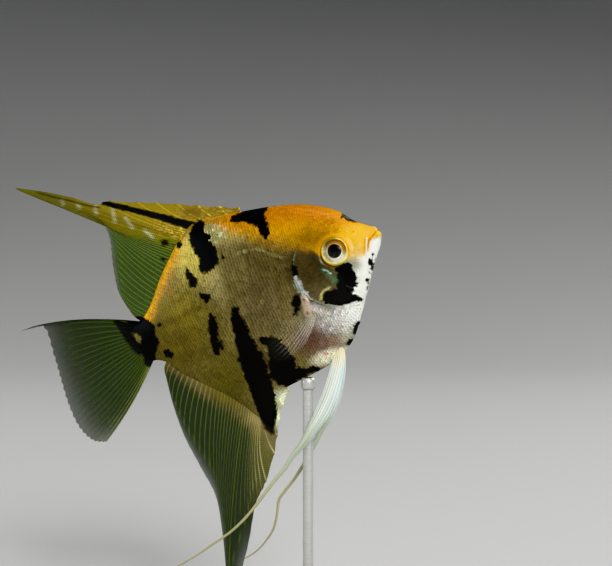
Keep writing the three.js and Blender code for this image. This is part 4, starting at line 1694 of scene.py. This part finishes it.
TAIL_DUSK = (0.13, 0.17, 0.05)
TAIL_LOW_RAY = (0.6, 0.62, 0.4)
PECTORAL_WEB = (0.78, 0.77, 0.7)
PECTORAL_RAY = (0.93, 0.92, 0.88)
PECTORAL_ROOT = (0.9, 0.84, 0.62)
PECTORAL_RED = (0.55, 0.3, 0.2)
PELVIC_MILK = (0.99, 0.99, 0.95)
PELVIC_GROOVE = (0.76, 0.82, 0.78)
PELVIC_STREAK = (0.74, 0.82, 0.8)
PELVIC_CREAM = (0.96, 0.93, 0.76)
PELVIC_BLUE_SHADE = (0.78, 0.88, 0.9)
PELVIC_ROOT = (0.94, 0.9, 0.74)
FEELER_GREY = (0.66, 0.72, 0.6)
FEELER_TAN = (0.7, 0.68, 0.5)


def dorsal_paint(f: FinPlan) -> tuple[Array, Array]:
    """Colours the dorsal fin: orange in front with a black stripe and pale bars, clear olive behind.

    Args:
        f: the fin's surface.

    Returns:
        Its linear colours and its cover, 0 where it is clear.
    """
    front = smooth(0.64, 0.52, f.across - 0.1 * f.along + 0.03 * f.chance(2.0, 4))
    scaly = smooth(17.0, 7.0, f.run + 3.0 * f.chance(0.9, 12)) * smooth(0.56, 0.46, f.across)
    flecks = smooth(0.1, 0.5, grain(f.x * 1.3, f.z, 0.42, 13))
    stripe = smooth(0.12, -0.12, f.off(DORSAL_STRIPE) + 0.2 * f.chance(1.1, 8))
    dark = np.maximum(stripe, f.black())
    paint = layered(flat(CLEAR_OLIVE, f.x), [
        (OLIVE_RAY, 0.8 * f.ridge),
        (DORSAL_OCHRE, front),
        (DORSAL_STRAW, smooth(0.47, 0.36, f.across)),
        (DORSAL_YELLOW, smooth(0.42, 0.1, f.across) * smooth(1.15, 0.3, f.along)),
        (SCALY_TAN, 0.85 * scaly),
        (SCALY_LIGHT, 0.8 * scaly * flecks),
        (WEB_BROWN, 0.6 * front * (1 - f.ridge) * smooth(0.1, 0.5, f.along)),
        (WEB_OLIVE, 0.7 * smooth(2.0, -12.0, f.x) * front),
        *((BAR_LIGHT, 0.8 * bump(f.off(bar), 0.6) * (0.3 + 0.7 * f.ridge)) for bar in DORSAL_BARS),
        (THREAD_BROWN, 0.85 * bump(f.off(DORSAL_THREAD), 0.3)),
        # painted shade: a soft brown patch above the stripe
        (SHADE_PATCH_BROWN, 0.7 * bump(f.off(DORSAL_SHADE_PATCH) + 0.4 * f.chance(0.8, 14), 1.0)),
        (ROOT_ORANGE, 0.9 * smooth(1.2, 0.3, f.run) * smooth(0.44, 0.57, f.across)),
        (BLACK, dark),
    ])
    cover = (0.7 + 0.25 * f.ridge + 0.3 * front) * smooth(1.25, 0.75, f.along * smooth(0.52, 0.66, f.across))
    return paint, np.maximum(np.maximum(cover, smooth(0.12, 0.04, f.along)), dark)


def anal_paint(f: FinPlan) -> tuple[Array, Array]:
    """Colours the anal fin: a tan scaled base, then clear with pale rays, whitish along the front.

    Args:
        f: the fin's surface.

    Returns:
        Its linear colours and its cover, 0 where it is clear.
    """
    lead = smooth(0.52, 0.26, f.across)
    high = lead * smooth(46, 14, f.run)
    paint = layered(flat(ANAL_WEB, f.x), [
        (ANAL_RAY, 0.8 * f.ridge),
        (FRONT_WEB, 0.9 * high),
        (FRONT_RAY, 0.9 * np.maximum(high, 0.5 * lead) * f.ridge),
        (FRONT_BLUE, 0.35 * lead * f.ridge * smooth(14, 34, f.run)),
        (FRONT_EDGE, 0.9 * smooth(0.24, 0.12, f.across) * smooth(2, 6, f.run)),
    ])
    edge, edge_side, _ = path_distance(f.x, f.z, ANAL_BAND)
    edge = np.where(edge_side > 0, edge, -edge) + 1.5 * f.ridge + 0.4 * f.chance(1.4, 15)
    band = smooth(-3.4 - 1.6 * lead, 1.4, edge) * smooth(18, 8, f.run)
    scaled = COAT.colour(f.x, f.z) * (1.15 + 1.0 * f.ridge)[..., None]
    paint = paint + (scaled - paint) * band[..., None]
    dark = f.black()
    cover = (0.8 + 0.18 * f.ridge + 0.06 * lead) * smooth(1.35, 0.7, f.along * smooth(0.3, 0.5, f.across))
    base = np.maximum(band, smooth(1.0, 0.3, f.run))
    return blend(paint, BLACK, dark), np.maximum(np.maximum(cover, base), dark)


def tail_paint(f: FinPlan) -> tuple[Array, Array]:
    """Colours the tail fin: dark olive and clear, with a black base and top edge.

    Args:
        f: the fin's surface.

    Returns:
        Its linear colours and its cover, 0 where it is clear.
    """
    top = smooth(0.045, 0.02, f.across) * smooth(0.85, 0.6, f.along)
    dark = np.maximum(0.92 * top, f.black())
    paint = layered(flat(TAIL_WEB, f.x), [
        (TAIL_RAY, 0.8 * f.ridge),
        (TAIL_DUSK, 0.6 * smooth(0.35, 0.9, f.along) * (1 - 0.6 * f.ridge)),
        (TAIL_LOW_RAY, 0.7 * smooth(0.84, 1.0, f.across) * f.ridge),
        (BLACK, dark),
    ])
    cover = (0.8 + 0.18 * f.ridge + 0.15 * smooth(0.16, 0.08, f.across)) * smooth(1.5, 0.6, f.along)
    return paint, np.maximum(cover, np.maximum(dark, smooth(4, 1.5, f.run)))


def pectoral_paint(f: FinPlan) -> tuple[Array, Array]:
    """Colours a pectoral fin: almost clear, with pinkish white rays and a warm root.

    Args:
        f: the fin's surface.

    Returns:
        Its linear colours and its cover, 0 where it is clear.
    """
    paint = layered(flat(PECTORAL_WEB, f.x), [
        (PECTORAL_RAY, f.ridge),
        (PECTORAL_ROOT, smooth(0.22, 0.05, f.along)),
        (PECTORAL_RED, 0.8 * bump(f.across - 0.25, 0.14) * bump(f.along - 0.03, 0.05)),
    ])
    strong = 0.05 + 0.14 * smooth(0.35, 0.7, f.across)
    cover = 0.015 + 0.05 * smooth(0.4, 0.8, f.across) * smooth(1, 0.4, f.along) + strong * f.ridge
    return paint, np.maximum(cover * smooth(1.1, 0.4, f.along), 0.8 * smooth(0.1, 0.02, f.along))


@dataclass
class PelvicFin:
    """A pelvic fin: a ribbed milky blade that draws out into a long filament."""

    side: Side
    line: Line
    width: Curve = through([
        (0, 2.6), (0.03, 3.6), (0.065, 4.1), (0.11, 4.5), (0.17, 4.6), (0.22, 4.3), (0.28, 3.4), (0.33, 2.5),
        (0.38, 1.7), (0.44, 1.25), (0.6, 0.9), (0.8, 0.7), (1, 0.35)])
    thickness: Curve = through([
        (0, 1.5), (0.2, 1), (0.34, 0.8), (0.5, 0.75), (0.8, 0.6), (1, 0.3)])
    rows: int = 240
    columns: int = 56
    path_steps: int = 900
    ribs: float = 6.0

    def build(self, material: Material) -> None:
        """Makes the fin, which replaces its node.

        Args:
            material: its finish.
        """
        line = np.array(self.line, float) * [1, self.side.value, 1]
        steps = np.linspace(0, 1, self.path_steps)
        walked = np.linalg.norm(np.diff(spline(line, steps), axis=0), axis=1)
        walked = np.concatenate([[0], np.cumsum(walked)])
        a = np.linspace(0, 1, self.rows)
        middle = spline(line, np.interp(a * walked[-1], walked, steps))
        tangent = normalised(np.gradient(middle, axis=0))
        broad = normalised(np.stack([-tangent[:, 2], np.zeros(self.rows), tangent[:, 0]], -1))
        thin = normalised(np.cross(tangent, broad))
        a = a[:, None]
        c = np.cos(np.linspace(math.pi, 0, self.columns))[None, :]
        close = np.minimum(1.0, 8.0 * np.sqrt(np.maximum(a * (1 - a), 1e-6)))
        blade = smooth(0.6, 0.25, a)
        groove = blade * (1 - np.abs(np.cos((c + 1) / 2 * math.pi * self.ribs)) ** 1.6)
        profile = np.sqrt(np.maximum(1 - c**2, 0.0)) * (1 - 0.3 * groove)
        curl = 0.5 * blade * np.sin(c * 2.2 + 6 * a) * close
        wide = self.width(a) / 2 * close * c
        deep = (self.thickness(a) / 2 * close * profile)[..., None] * thin[:, None]
        centre = middle[:, None] + wide[..., None] * broad[:, None] + curl[..., None] * thin[:, None]
        streak = grain(c * 3.6, 5 * a, 1.0, 31 + self.side.value)
        paint = layered(flat(PELVIC_MILK, groove), [
            (PELVIC_GROOVE, 0.8 * groove),
            (PELVIC_STREAK, 0.7 * smooth(0.0, 0.7, streak)),
            (PELVIC_CREAM, 0.7 * smooth(0.1, 0.8, -streak) * smooth(0.4, -0.6, c)),
            # painted shade: bluish along one edge of the blade
            (PELVIC_BLUE_SHADE, 0.5 * smooth(0.1, 0.9, c) * blade),
            (FEELER_GREY, 0.7 * smooth(0.2, 0.36, a)),
            (FEELER_TAN, 0.9 * smooth(0.38, 0.6, a)),
            (PELVIC_ROOT, 0.9 * smooth(0.09, 0.02, a)),
        ])
        cover = 0.97 - 0.2 * groove - 0.1 * smooth(0.2, 0.7, streak) - 0.15 * smooth(0.5, 1.0, a)
        sheet = slab(centre - deep, centre + deep, {
            "coat": paint, "cover": cover, "run": np.zeros_like(groove), "ridge": 1 - groove})
        node = f"pelvic_fin_{self.side.word}"
        made = sheet.object(f"{node}_skin", material, "pelvic_fin")
        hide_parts(node)


@dataclass
class Fins:
    """All the fins; the pectoral pair is mirrored, and each pelvic fin has its own line."""

    dorsal: RayFin = field(default_factory=lambda: RayFin(
        "dorsal_fin", "fin",
        [(46, 20.6, 43.8, 24.3), (41, 21.4, 35, 28.6), (36, 22.2, 26, 33.3), (31.5, 22.8, 17, 37.8),
         (28.5, 22.7, 9.6, 41.3), (27.4, 22.4, 5, 43.6), (26.6, 22, 1.4, 44.2), (25.9, 21.6, -6.6, 50.6),
         (25, 21, -20.5, 59.3), (23, 19.6, -11, 50.2), (20.5, 17.6, -2.8, 44), (17, 15, 2, 39),
         (13, 11.8, 2.6, 32.6), (9.4, 8.6, 0.3, 25.4), (6.2, 5.6, -1.7, 17), (4.2, 4.4, -0.8, 10.4)],
        spines=13, soft=25, spine_share=8 / 15, paint=dorsal_paint, rows=60))
    anal: RayFin = field(default_factory=lambda: RayFin(
        "anal_fin", "fin",
        [(38.5, -27, 36.4, -30.9), (35.5, -27.6, 32.7, -33.8), (32, -29, 29.6, -37.2), (29.4, -31, 27, -41.2),
         (27.4, -32.6, 24, -45.6), (26.4, -32.6, 18.2, -52.4), (25.4, -31.6, 12.3, -57.6),
         (24.2, -29.8, 4.6, -68.8), (22.8, -27.6, -8.4, -84), (21.2, -25.4, -3.4, -71.6),
         (19.2, -23, 0.4, -60.7), (17, -20.6, 2.8, -50.6), (14.5, -17.8, 1.8, -41), (11.5, -14.6, 0.6, -30.8),
         (8.6, -11.2, 0.9, -20.6), (6.2, -7.4, 2, -12.6)],
        spines=6, soft=30, spine_share=5 / 15, paint=anal_paint, bow=(-1.4, -1.4), sway=1.6, rows=64))
    tail: RayFin = field(default_factory=lambda: RayFin(
        "tail_fin", "fin",
        [(2.6, 5, -38.4, 18.8), (2.4, 3.8, -30.4, 17.4), (2.2, 2, -31, 8), (2.1, 0.8, -31.8, 0),
         (2.1, -0.8, -32, -8), (2.2, -2.2, -30.8, -15.6), (2.4, -3.2, -27.6, -21), (2.6, -3.9, -23.4, -23.2)],
        spines=0, soft=26, spine_share=0.0, paint=tail_paint, bow=(-2.2, 1.1), sway=2.2, waves=1.5,
        scallop=0.5, soft_radius=(0.3, 0.1)))
    pectoral_rays: Line = (
        (56.2, -8.4, 41.6, -13), (56, -9.4, 38, -16.4), (55.7, -10.7, 38.4, -20.2), (55.4, -11.9, 42, -22.8),
        (55.1, -13, 46.4, -22.6))
    pelvic_right: Line = (
        (55.8, 0.6, -24.6), (54.6, 1.7, -27.4), (52.4, 2.9, -31.2), (48.9, 4, -35.8), (46, 4.4, -38.7),
        (43.4, 4.7, -40.9), (39.5, 5, -43.6), (35.8, 5.4, -46.2), (31.6, 5.6, -48.3), (27.9, 5.8, -50.7),
        (23.4, 6, -52.9), (19.2, 6, -55.2), (15, 6.1, -57.5), (10.5, 6.2, -59.7), (4.5, 6.2, -61.8),
        (-1.8, 6.2, -63), (-8.2, 6.1, -64.3), (-17, 6, -65.4))
    pelvic_left: Line = (
        (55.4, 0.6, -24.6), (53.6, 1.7, -27.6), (51, 2.9, -31.4), (47.5, 4, -36), (44.6, 4.4, -39.4),
        (41.6, 4.7, -42.2), (38.3, 5, -44.9), (33.6, 5.3, -49), (26.2, 5.7, -54.1), (20.5, 6, -57.2),
        (17.8, 6, -58.9), (16.1, 6, -61.6), (14.7, 6, -63.7), (12.5, 6, -66.3), (9.3, 6, -68.4),
        (5.2, 5.8, -70.3), (0.4, 5.4, -71.2))

    def build(self) -> None:
        """Makes every fin."""
        web = FinWeb().material("fin web")
        for fin in (self.dorsal, self.anal, self.tail):
            fin.build(web)
        clear = FinWeb(rough=0.3).material("clear fin web")
        milky = FinWeb(rough=0.34, speckle=0.04, joints=0.0).material("milky pelvic fin")
        for side, line in ((Side.RIGHT, self.pelvic_right), (Side.LEFT, self.pelvic_left)):
            RayFin(f"pectoral_fin_{side.word}", "clear_fin", self.pectoral_rays, spines=0, soft=13,
                   spine_share=0.0, paint=pectoral_paint, bow=(0.8, 0.8), rows=40, soft_radius=(0.22, 0.08),
                   web=0.05, side=side.value, root_y=4.9, spread=5.7, cup=0.8).build(clear)
            PelvicFin(side, line).build(milky)


# ---- eyes ----


IRIS_SILVER = (0.66, 0.64, 0.46)
IRIS_LIGHT = (0.84, 0.84, 0.74)
IRIS_AMBER = (0.56, 0.4, 0.12)
IRIS_BROWN = (0.3, 0.23, 0.05)
FIBRE_DULL = (0.46, 0.42, 0.26)
FIBRE_LIGHT = (0.95, 0.93, 0.8)
AMBER_GLOW = (0.88, 0.58, 0.1)
PUPIL_RING = (1.0, 0.99, 0.9)
RIM_STRAW = (0.86, 0.78, 0.4)
RIM_YELLOW = (1.0, 0.96, 0.55)
RIM_GOLD = (0.9, 0.68, 0.06)
RIM_BROWN = (0.4, 0.34, 0.05)
RIM_EDGE = (0.45, 0.36, 0.05)
PUPIL_BLACK = (0.012, 0.012, 0.014)


@dataclass
class Eye:
    """One eye: a bright rim, a silver and amber iris, a black pupil and a clear dome over them."""

    side: Side
    radius: float = 4.12
    front: float = 6.55
    depth: float = 2.6
    pupil: float = 2.02
    iris: float = 3.35
    look: tuple[float, float, float] = (0.1, 1.0, 0.03)
    rings: int = 64
    columns: int = 128
    back_rings: int = 14
    dome_rings: int = 26
    dome_radius: float = 3.66
    dome_curve: float = 3.9
    dome_height: float = 0.62
    dome_sink: float = 0.02
    dome_wall: float = 0.06
    axis_gap: float = 0.01

    def frame(self) -> tuple[Array, Array, Array]:
        """Works out how the eye stands.

        Returns:
            Its axis and the two directions across it, rearward and upward.
        """
        axis = normalised(np.array(self.look) * [1, self.side.value, 1])
        rear = normalised(np.cross(np.array([0.0, 0.0, 1.0]), axis) * self.side.value * -1)
        up = normalised(np.cross(axis, rear)) * -self.side.value
        if up[2] < 0:
            up = -up
        if rear[0] > 0:
            rear = -rear
        return axis, rear, up

    def revolved(self, radius: Array, height: Array) -> tuple[Array, Array, Array]:
        """Turns a profile round the eye's axis.

        Args:
            radius: how far the profile's points lie from the axis.
            height: how high they stand along it.

        Returns:
            The vertices, and each one's radius and its angle from the rear.
        """
        axis, rear, up = self.frame()
        angle = np.linspace(0, 2 * math.pi, self.columns, endpoint=False)
        r, a = np.meshgrid(radius, angle, indexing="ij")
        h = np.broadcast_to(height[:, None], r.shape)
        middle = np.array([EYE_AT[0], 0.0, EYE_AT[1]]) + axis * (self.front / axis[1] * self.side.value)
        points = middle + (r * np.cos(a))[..., None] * rear + (r * np.sin(a))[..., None] * up
        return points + h[..., None] * axis, r, a

    def ball(self, material: Material) -> None:
        """Makes the eyeball with its painted iris and raised rim.

        Args:
            material: its finish.
        """
        face = np.linspace(self.axis_gap, self.radius, self.rings)
        rise = 0.3 * bump(face - 3.72, 0.3) - 0.25 * smooth(3.6, self.radius + 0.05, face)
        lens = 0.42 * np.sqrt(np.clip(1 - (face / (self.pupil + 0.05)) ** 2, 0, 1))
        bowl = -0.16 * smooth(self.pupil - 0.1, self.pupil + 0.25, face) * smooth(3.6, 3.2, face)
        height = -0.35 * (face / self.radius) ** 2 + rise + lens + bowl
        back = np.linspace(0, math.pi / 2, self.back_rings)[1:]
        radius = np.concatenate([face, self.radius * np.cos(back)[:-1], [self.axis_gap]])
        height = np.concatenate([height, height[-1] - self.depth * np.sin(back)])
        points, r, a = self.revolved(radius, height)
        paint, metal = self.paint(r, a)
        made = hoops(points, {"coat": paint, "metal": metal}).object(
            f"eyeball_{self.side.word}", material, "eye")
        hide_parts(f"eye_{self.side.word}")

    def paint(self, r: Array, a: Array) -> tuple[Array, Array]:
        """Colours the eye.

        Args:
            r: distances from its axis.
            a: angles round it from the rear.

        Returns:
            Its linear colours and how metallic they are.
        """
        fibre = grain(a * 9.0, r * 0.6, 0.22, 31) * 0.5 + grain(a * 3, r, 0.5, 32) * 0.5
        ahead = -np.cos(a + 0.35)
        above = np.sin(a + 0.15)
        amber = smooth(-0.3, 0.55, 0.75 * ahead + 0.6 * above)
        rim = smooth(self.iris - 0.05, self.iris + 0.22, r)
        low_rim = smooth(0.25, 0.5, r - self.iris) * smooth(-0.9, -0.1, above + 0.4 * np.abs(ahead))
        pupil = smooth(self.pupil + 0.03, self.pupil - 0.05, r + 0.03 * fibre)
        paint = layered(flat(IRIS_SILVER, r), [
            (IRIS_LIGHT, smooth(0.3, 1.0, -above)),
            (IRIS_AMBER, amber),
            (IRIS_BROWN, 0.7 * smooth(0.5, 1.0, above)),
            (FIBRE_DULL, 0.45 * smooth(0.0, 0.8, fibre)),
            (FIBRE_LIGHT, 0.4 * smooth(0.1, 0.9, -fibre) * (1 - amber)),
            (AMBER_GLOW, 0.5 * amber * bump(r - self.pupil - 0.45, 0.3)),
            (PUPIL_RING, (1 - 0.75 * amber) * bump(r - self.pupil - 0.14, 0.13)),
            (RIM_STRAW, rim),
            (RIM_YELLOW, rim * smooth(-0.1, 0.6, ahead - 0.3 * above)),
            (RIM_GOLD, rim * low_rim),
            (RIM_BROWN, 0.7 * rim * smooth(0.6, 1.0, above)),
            (RIM_EDGE, 0.6 * smooth(self.radius - 0.14, self.radius + 0.06, r)),
            (PUPIL_BLACK, pupil),
        ])
        return paint, 0.2 * (1 - pupil) * smooth(self.pupil, self.pupil + 0.1, r)

    def dome(self, material: Material) -> None:
        """Makes the clear dome.

        Args:
            material: its finish.
        """
        out = np.linspace(self.axis_gap, self.dome_radius, self.dome_rings)
        top = self.dome_height * (1 - (out / self.dome_curve) ** 2) - self.dome_sink
        radius = np.concatenate([out, out[::-1]])
        height = np.concatenate([top, top[::-1] - self.dome_wall])
        hoops(self.revolved(radius, height)[0]).object(f"eye_dome_{self.side.word}", material, "eye")


# ---- stand ----


@dataclass
class Stand:
    """The display stand: the base and rod of the frame, finished, with a ferrule and a cup."""

    rod_x: float = 6.7
    base_top: float = 8.0
    rod_top: float = 84.0
    columns: int = 96
    ferrule: Sequence[Pair] = ((1.3, 0), (3.4, 0), (3.4, 0.5), (3.2, 0.8), (2.4, 1.1), (2.05, 1.8),
                                  (1.95, 2.8), (1.7, 3), (1.3, 3))
    black: StandFinish = StandFinish((0.075, 0.075, 0.08), 0.42, 0.0, 900.0, (1, 1, 1), 0.00006)
    steel: StandFinish = StandFinish((0.80, 0.80, 0.79), 0.42, 0.6, 220.0, (1, 1, 30), 0.00002)
    cup: Sequence[Pair] = ((1.3, -3.2), (1.75, -3.2), (2.0, -2.6), (2.05, -0.8), (1.8, 0.2), (1.3, 0.2))

    def turned(self, name: str, level: float, profile: Sequence[Pair],
               material: Material) -> None:
        """Makes a ring or cup turned about the rod.

        Args:
            name: the piece's name.
            level: the height its profile starts from, in millimetres of the row's frame.
            profile: closed (radius, height) points.
            material: its finish.
        """
        ring = np.array(profile, float) + [0.0, level]
        angle = np.linspace(0, 2 * math.pi, self.columns, endpoint=False)
        x = self.rod_x + ring[:, 0, None] * np.cos(angle)
        y = ring[:, 0, None] * np.sin(angle)
        z = np.broadcast_to(ring[:, 1, None], x.shape)
        hoops(np.stack([x, y, z], -1), posed=False).object(name, material, "stand_rod")

    def build(self) -> None:
        """Dresses the frame's base and rod, and adds the turned pieces."""
        black = self.black.material("satin black")
        steel = self.steel.material("brushed steel")
        for node, finish in (("stand_base", black), ("stand_rod", steel)):
            made = bpy.data.objects[node]
            made.data.materials.clear()
            made.data.materials.append(finish)
        self.turned("stand_ferrule", self.base_top, self.ferrule, steel)
        self.turned("stand_cup", self.rod_top, self.cup, steel)


# ---- studio and camera ----


@dataclass(frozen=True)
class Lamp:
    """A soft studio light: where it stands, its size and its power."""

    name: str
    place: tuple[float, float, float]
    size: float
    power: float
    colour: Colour = (1.0, 1.0, 1.0)

    def build(self, aim: Vector) -> None:
        """Makes the lamp.

        Args:
            aim: the point it is turned to.
        """
        light = bpy.data.lights.new(self.name, "AREA")
        light.shape, light.size, light.energy, light.color = "DISK", self.size, self.power, self.colour
        lamp = shown(self.name, light)
        lamp.location = self.place
        lamp.rotation_euler = (aim - Vector(self.place)).to_track_quat("-Z", "Y").to_euler()


@dataclass
class Studio:
    """A pale round floor that sweeps up into a grey surround, soft lamps and the camera."""

    aim: tuple[float, float, float] = (0.00607, 0.0, 0.11153)
    azimuth: float = math.radians(18.0)
    elevation: float = math.radians(2.5)
    distance: float = 0.44
    half_width: float = 0.08813
    sensor: float = 36.0
    floor_radius: float = 0.9
    sweep: float = 0.9
    wall: float = 1.6
    floor_columns: int = 96
    floor_rings: int = 12
    sweep_rings: int = 24
    floor_colour: tuple[float, ...] = (0.55, 0.55, 0.54, 1)
    wall_colour: tuple[float, ...] = (0.2, 0.202, 0.206, 1)
    wall_tone_at: float = 0.5
    surround: tuple[float, ...] = (0.55, 0.56, 0.58, 1)
    surround_power: float = 0.3
    lamps: tuple[Lamp, ...] = (
        Lamp("key", (0.62, -0.85, 0.75), 0.42, 13.0, (1.0, 0.985, 0.96)),
        Lamp("fill", (-0.95, -0.75, 0.35), 0.9, 3.0, (0.95, 0.98, 1.0)),
        Lamp("top", (0.1, -0.3, 1.25), 0.8, 4.5),
        Lamp("far side", (0.5, 0.85, 0.85), 0.6, 6.5),
        Lamp("tail side", (-0.9, 0.42, 0.6), 0.6, 2.5))

    def build(self) -> None:
        """Makes the stage, the lamps and the camera."""
        self.build_floor()
        for lamp in self.lamps:
            lamp.build(Vector(self.aim))
        world = bpy.data.worlds.new("surround")
        world.use_nodes = True
        surround = world.node_tree.nodes["Background"].inputs
        surround["Color"].default_value = self.surround
        surround["Strength"].default_value = self.surround_power
        bpy.context.scene.world = world
        bpy.context.scene.view_settings.view_transform = "Khronos PBR Neutral"
        self.build_camera()

    def build_floor(self) -> None:
        """Makes the round floor and its rising sweep."""
        turn = np.linspace(0, math.pi / 2, self.sweep_rings)
        level = np.linspace(0.0, self.floor_radius, self.floor_rings)[1:]
        radius = np.concatenate([level, self.floor_radius + self.sweep * np.sin(turn[1:])])
        height = np.concatenate([level * 0, self.sweep * (1 - np.cos(turn[1:]))])
        radius = np.append(radius, radius[-1])
        height = np.append(height, self.wall)
        angle = np.linspace(0, 2 * math.pi, self.floor_columns, endpoint=False)
        x = radius[:, None] * np.cos(angle)
        y = radius[:, None] * np.sin(angle)
        z = np.broadcast_to(height[:, None], x.shape)
        points = np.concatenate([np.stack([x, y, z], -1).reshape(-1, 3), np.zeros((1, 3))])
        faces = [tuple(f[::-1]) for f in grid_faces(len(radius), len(angle), wraps=True)]
        middle = len(points) - 1
        faces += [(middle, j, (j + 1) % len(angle)) for j in range(len(angle))]
        mesh = bpy.data.meshes.new("floor")
        mesh.from_pydata([tuple(p) for p in points], [], faces)
        mesh.polygons.foreach_set("use_smooth", [True] * len(faces))
        floor = shown("floor", mesh)
        n = Nodes("pale floor")
        where = n.add("ShaderNodeTexCoord")
        split = n.add("ShaderNodeSeparateXYZ")
        n.join(where.outputs["Object"], split.inputs[0])
        ramp = n.add("ShaderNodeValToRGB")
        for stop, colour in zip(ramp.color_ramp.elements, (self.floor_colour, self.wall_colour)):
            stop.color = colour
        n.join(n.ranged(split.outputs["Z"], 0, 1, (0.0, self.wall_tone_at)), ramp.inputs["Fac"])
        n.give(ramp.outputs["Color"], "Base Color")
        n.set(Roughness=0.85)
        mesh.materials.append(n.material)

    def build_camera(self) -> None:
        """Makes the camera at its distance from the point it looks at."""
        data = bpy.data.cameras.new("camera")
        data.sensor_width = self.sensor
        data.lens = self.sensor / 2 * self.distance / self.half_width
        data.clip_start, data.clip_end = 0.01, 20.0
        back = Vector((math.sin(self.azimuth) * math.cos(self.elevation),
                       -math.cos(self.azimuth) * math.cos(self.elevation), math.sin(self.elevation)))
        camera = shown("camera", data)
        camera.location = Vector(self.aim) + back * self.distance
        camera.rotation_euler = (-back).to_track_quat("-Z", "Y").to_euler()
        bpy.context.scene.camera = camera


def main() -> None:
    """Builds the whole scene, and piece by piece."""
    Studio().build()
    LOG.info("studio and camera")
    Skin().build()
    BodyScales().build()
    Fins().build()
    gloss, clear = EyeGloss().material("eye gloss"), Cornea().material("clear cornea")
    for side in Side:
        Eye(side).ball(gloss)
        Eye(side).dome(clear)
    Stand().build()


if __name__ == "__main__":
    main()
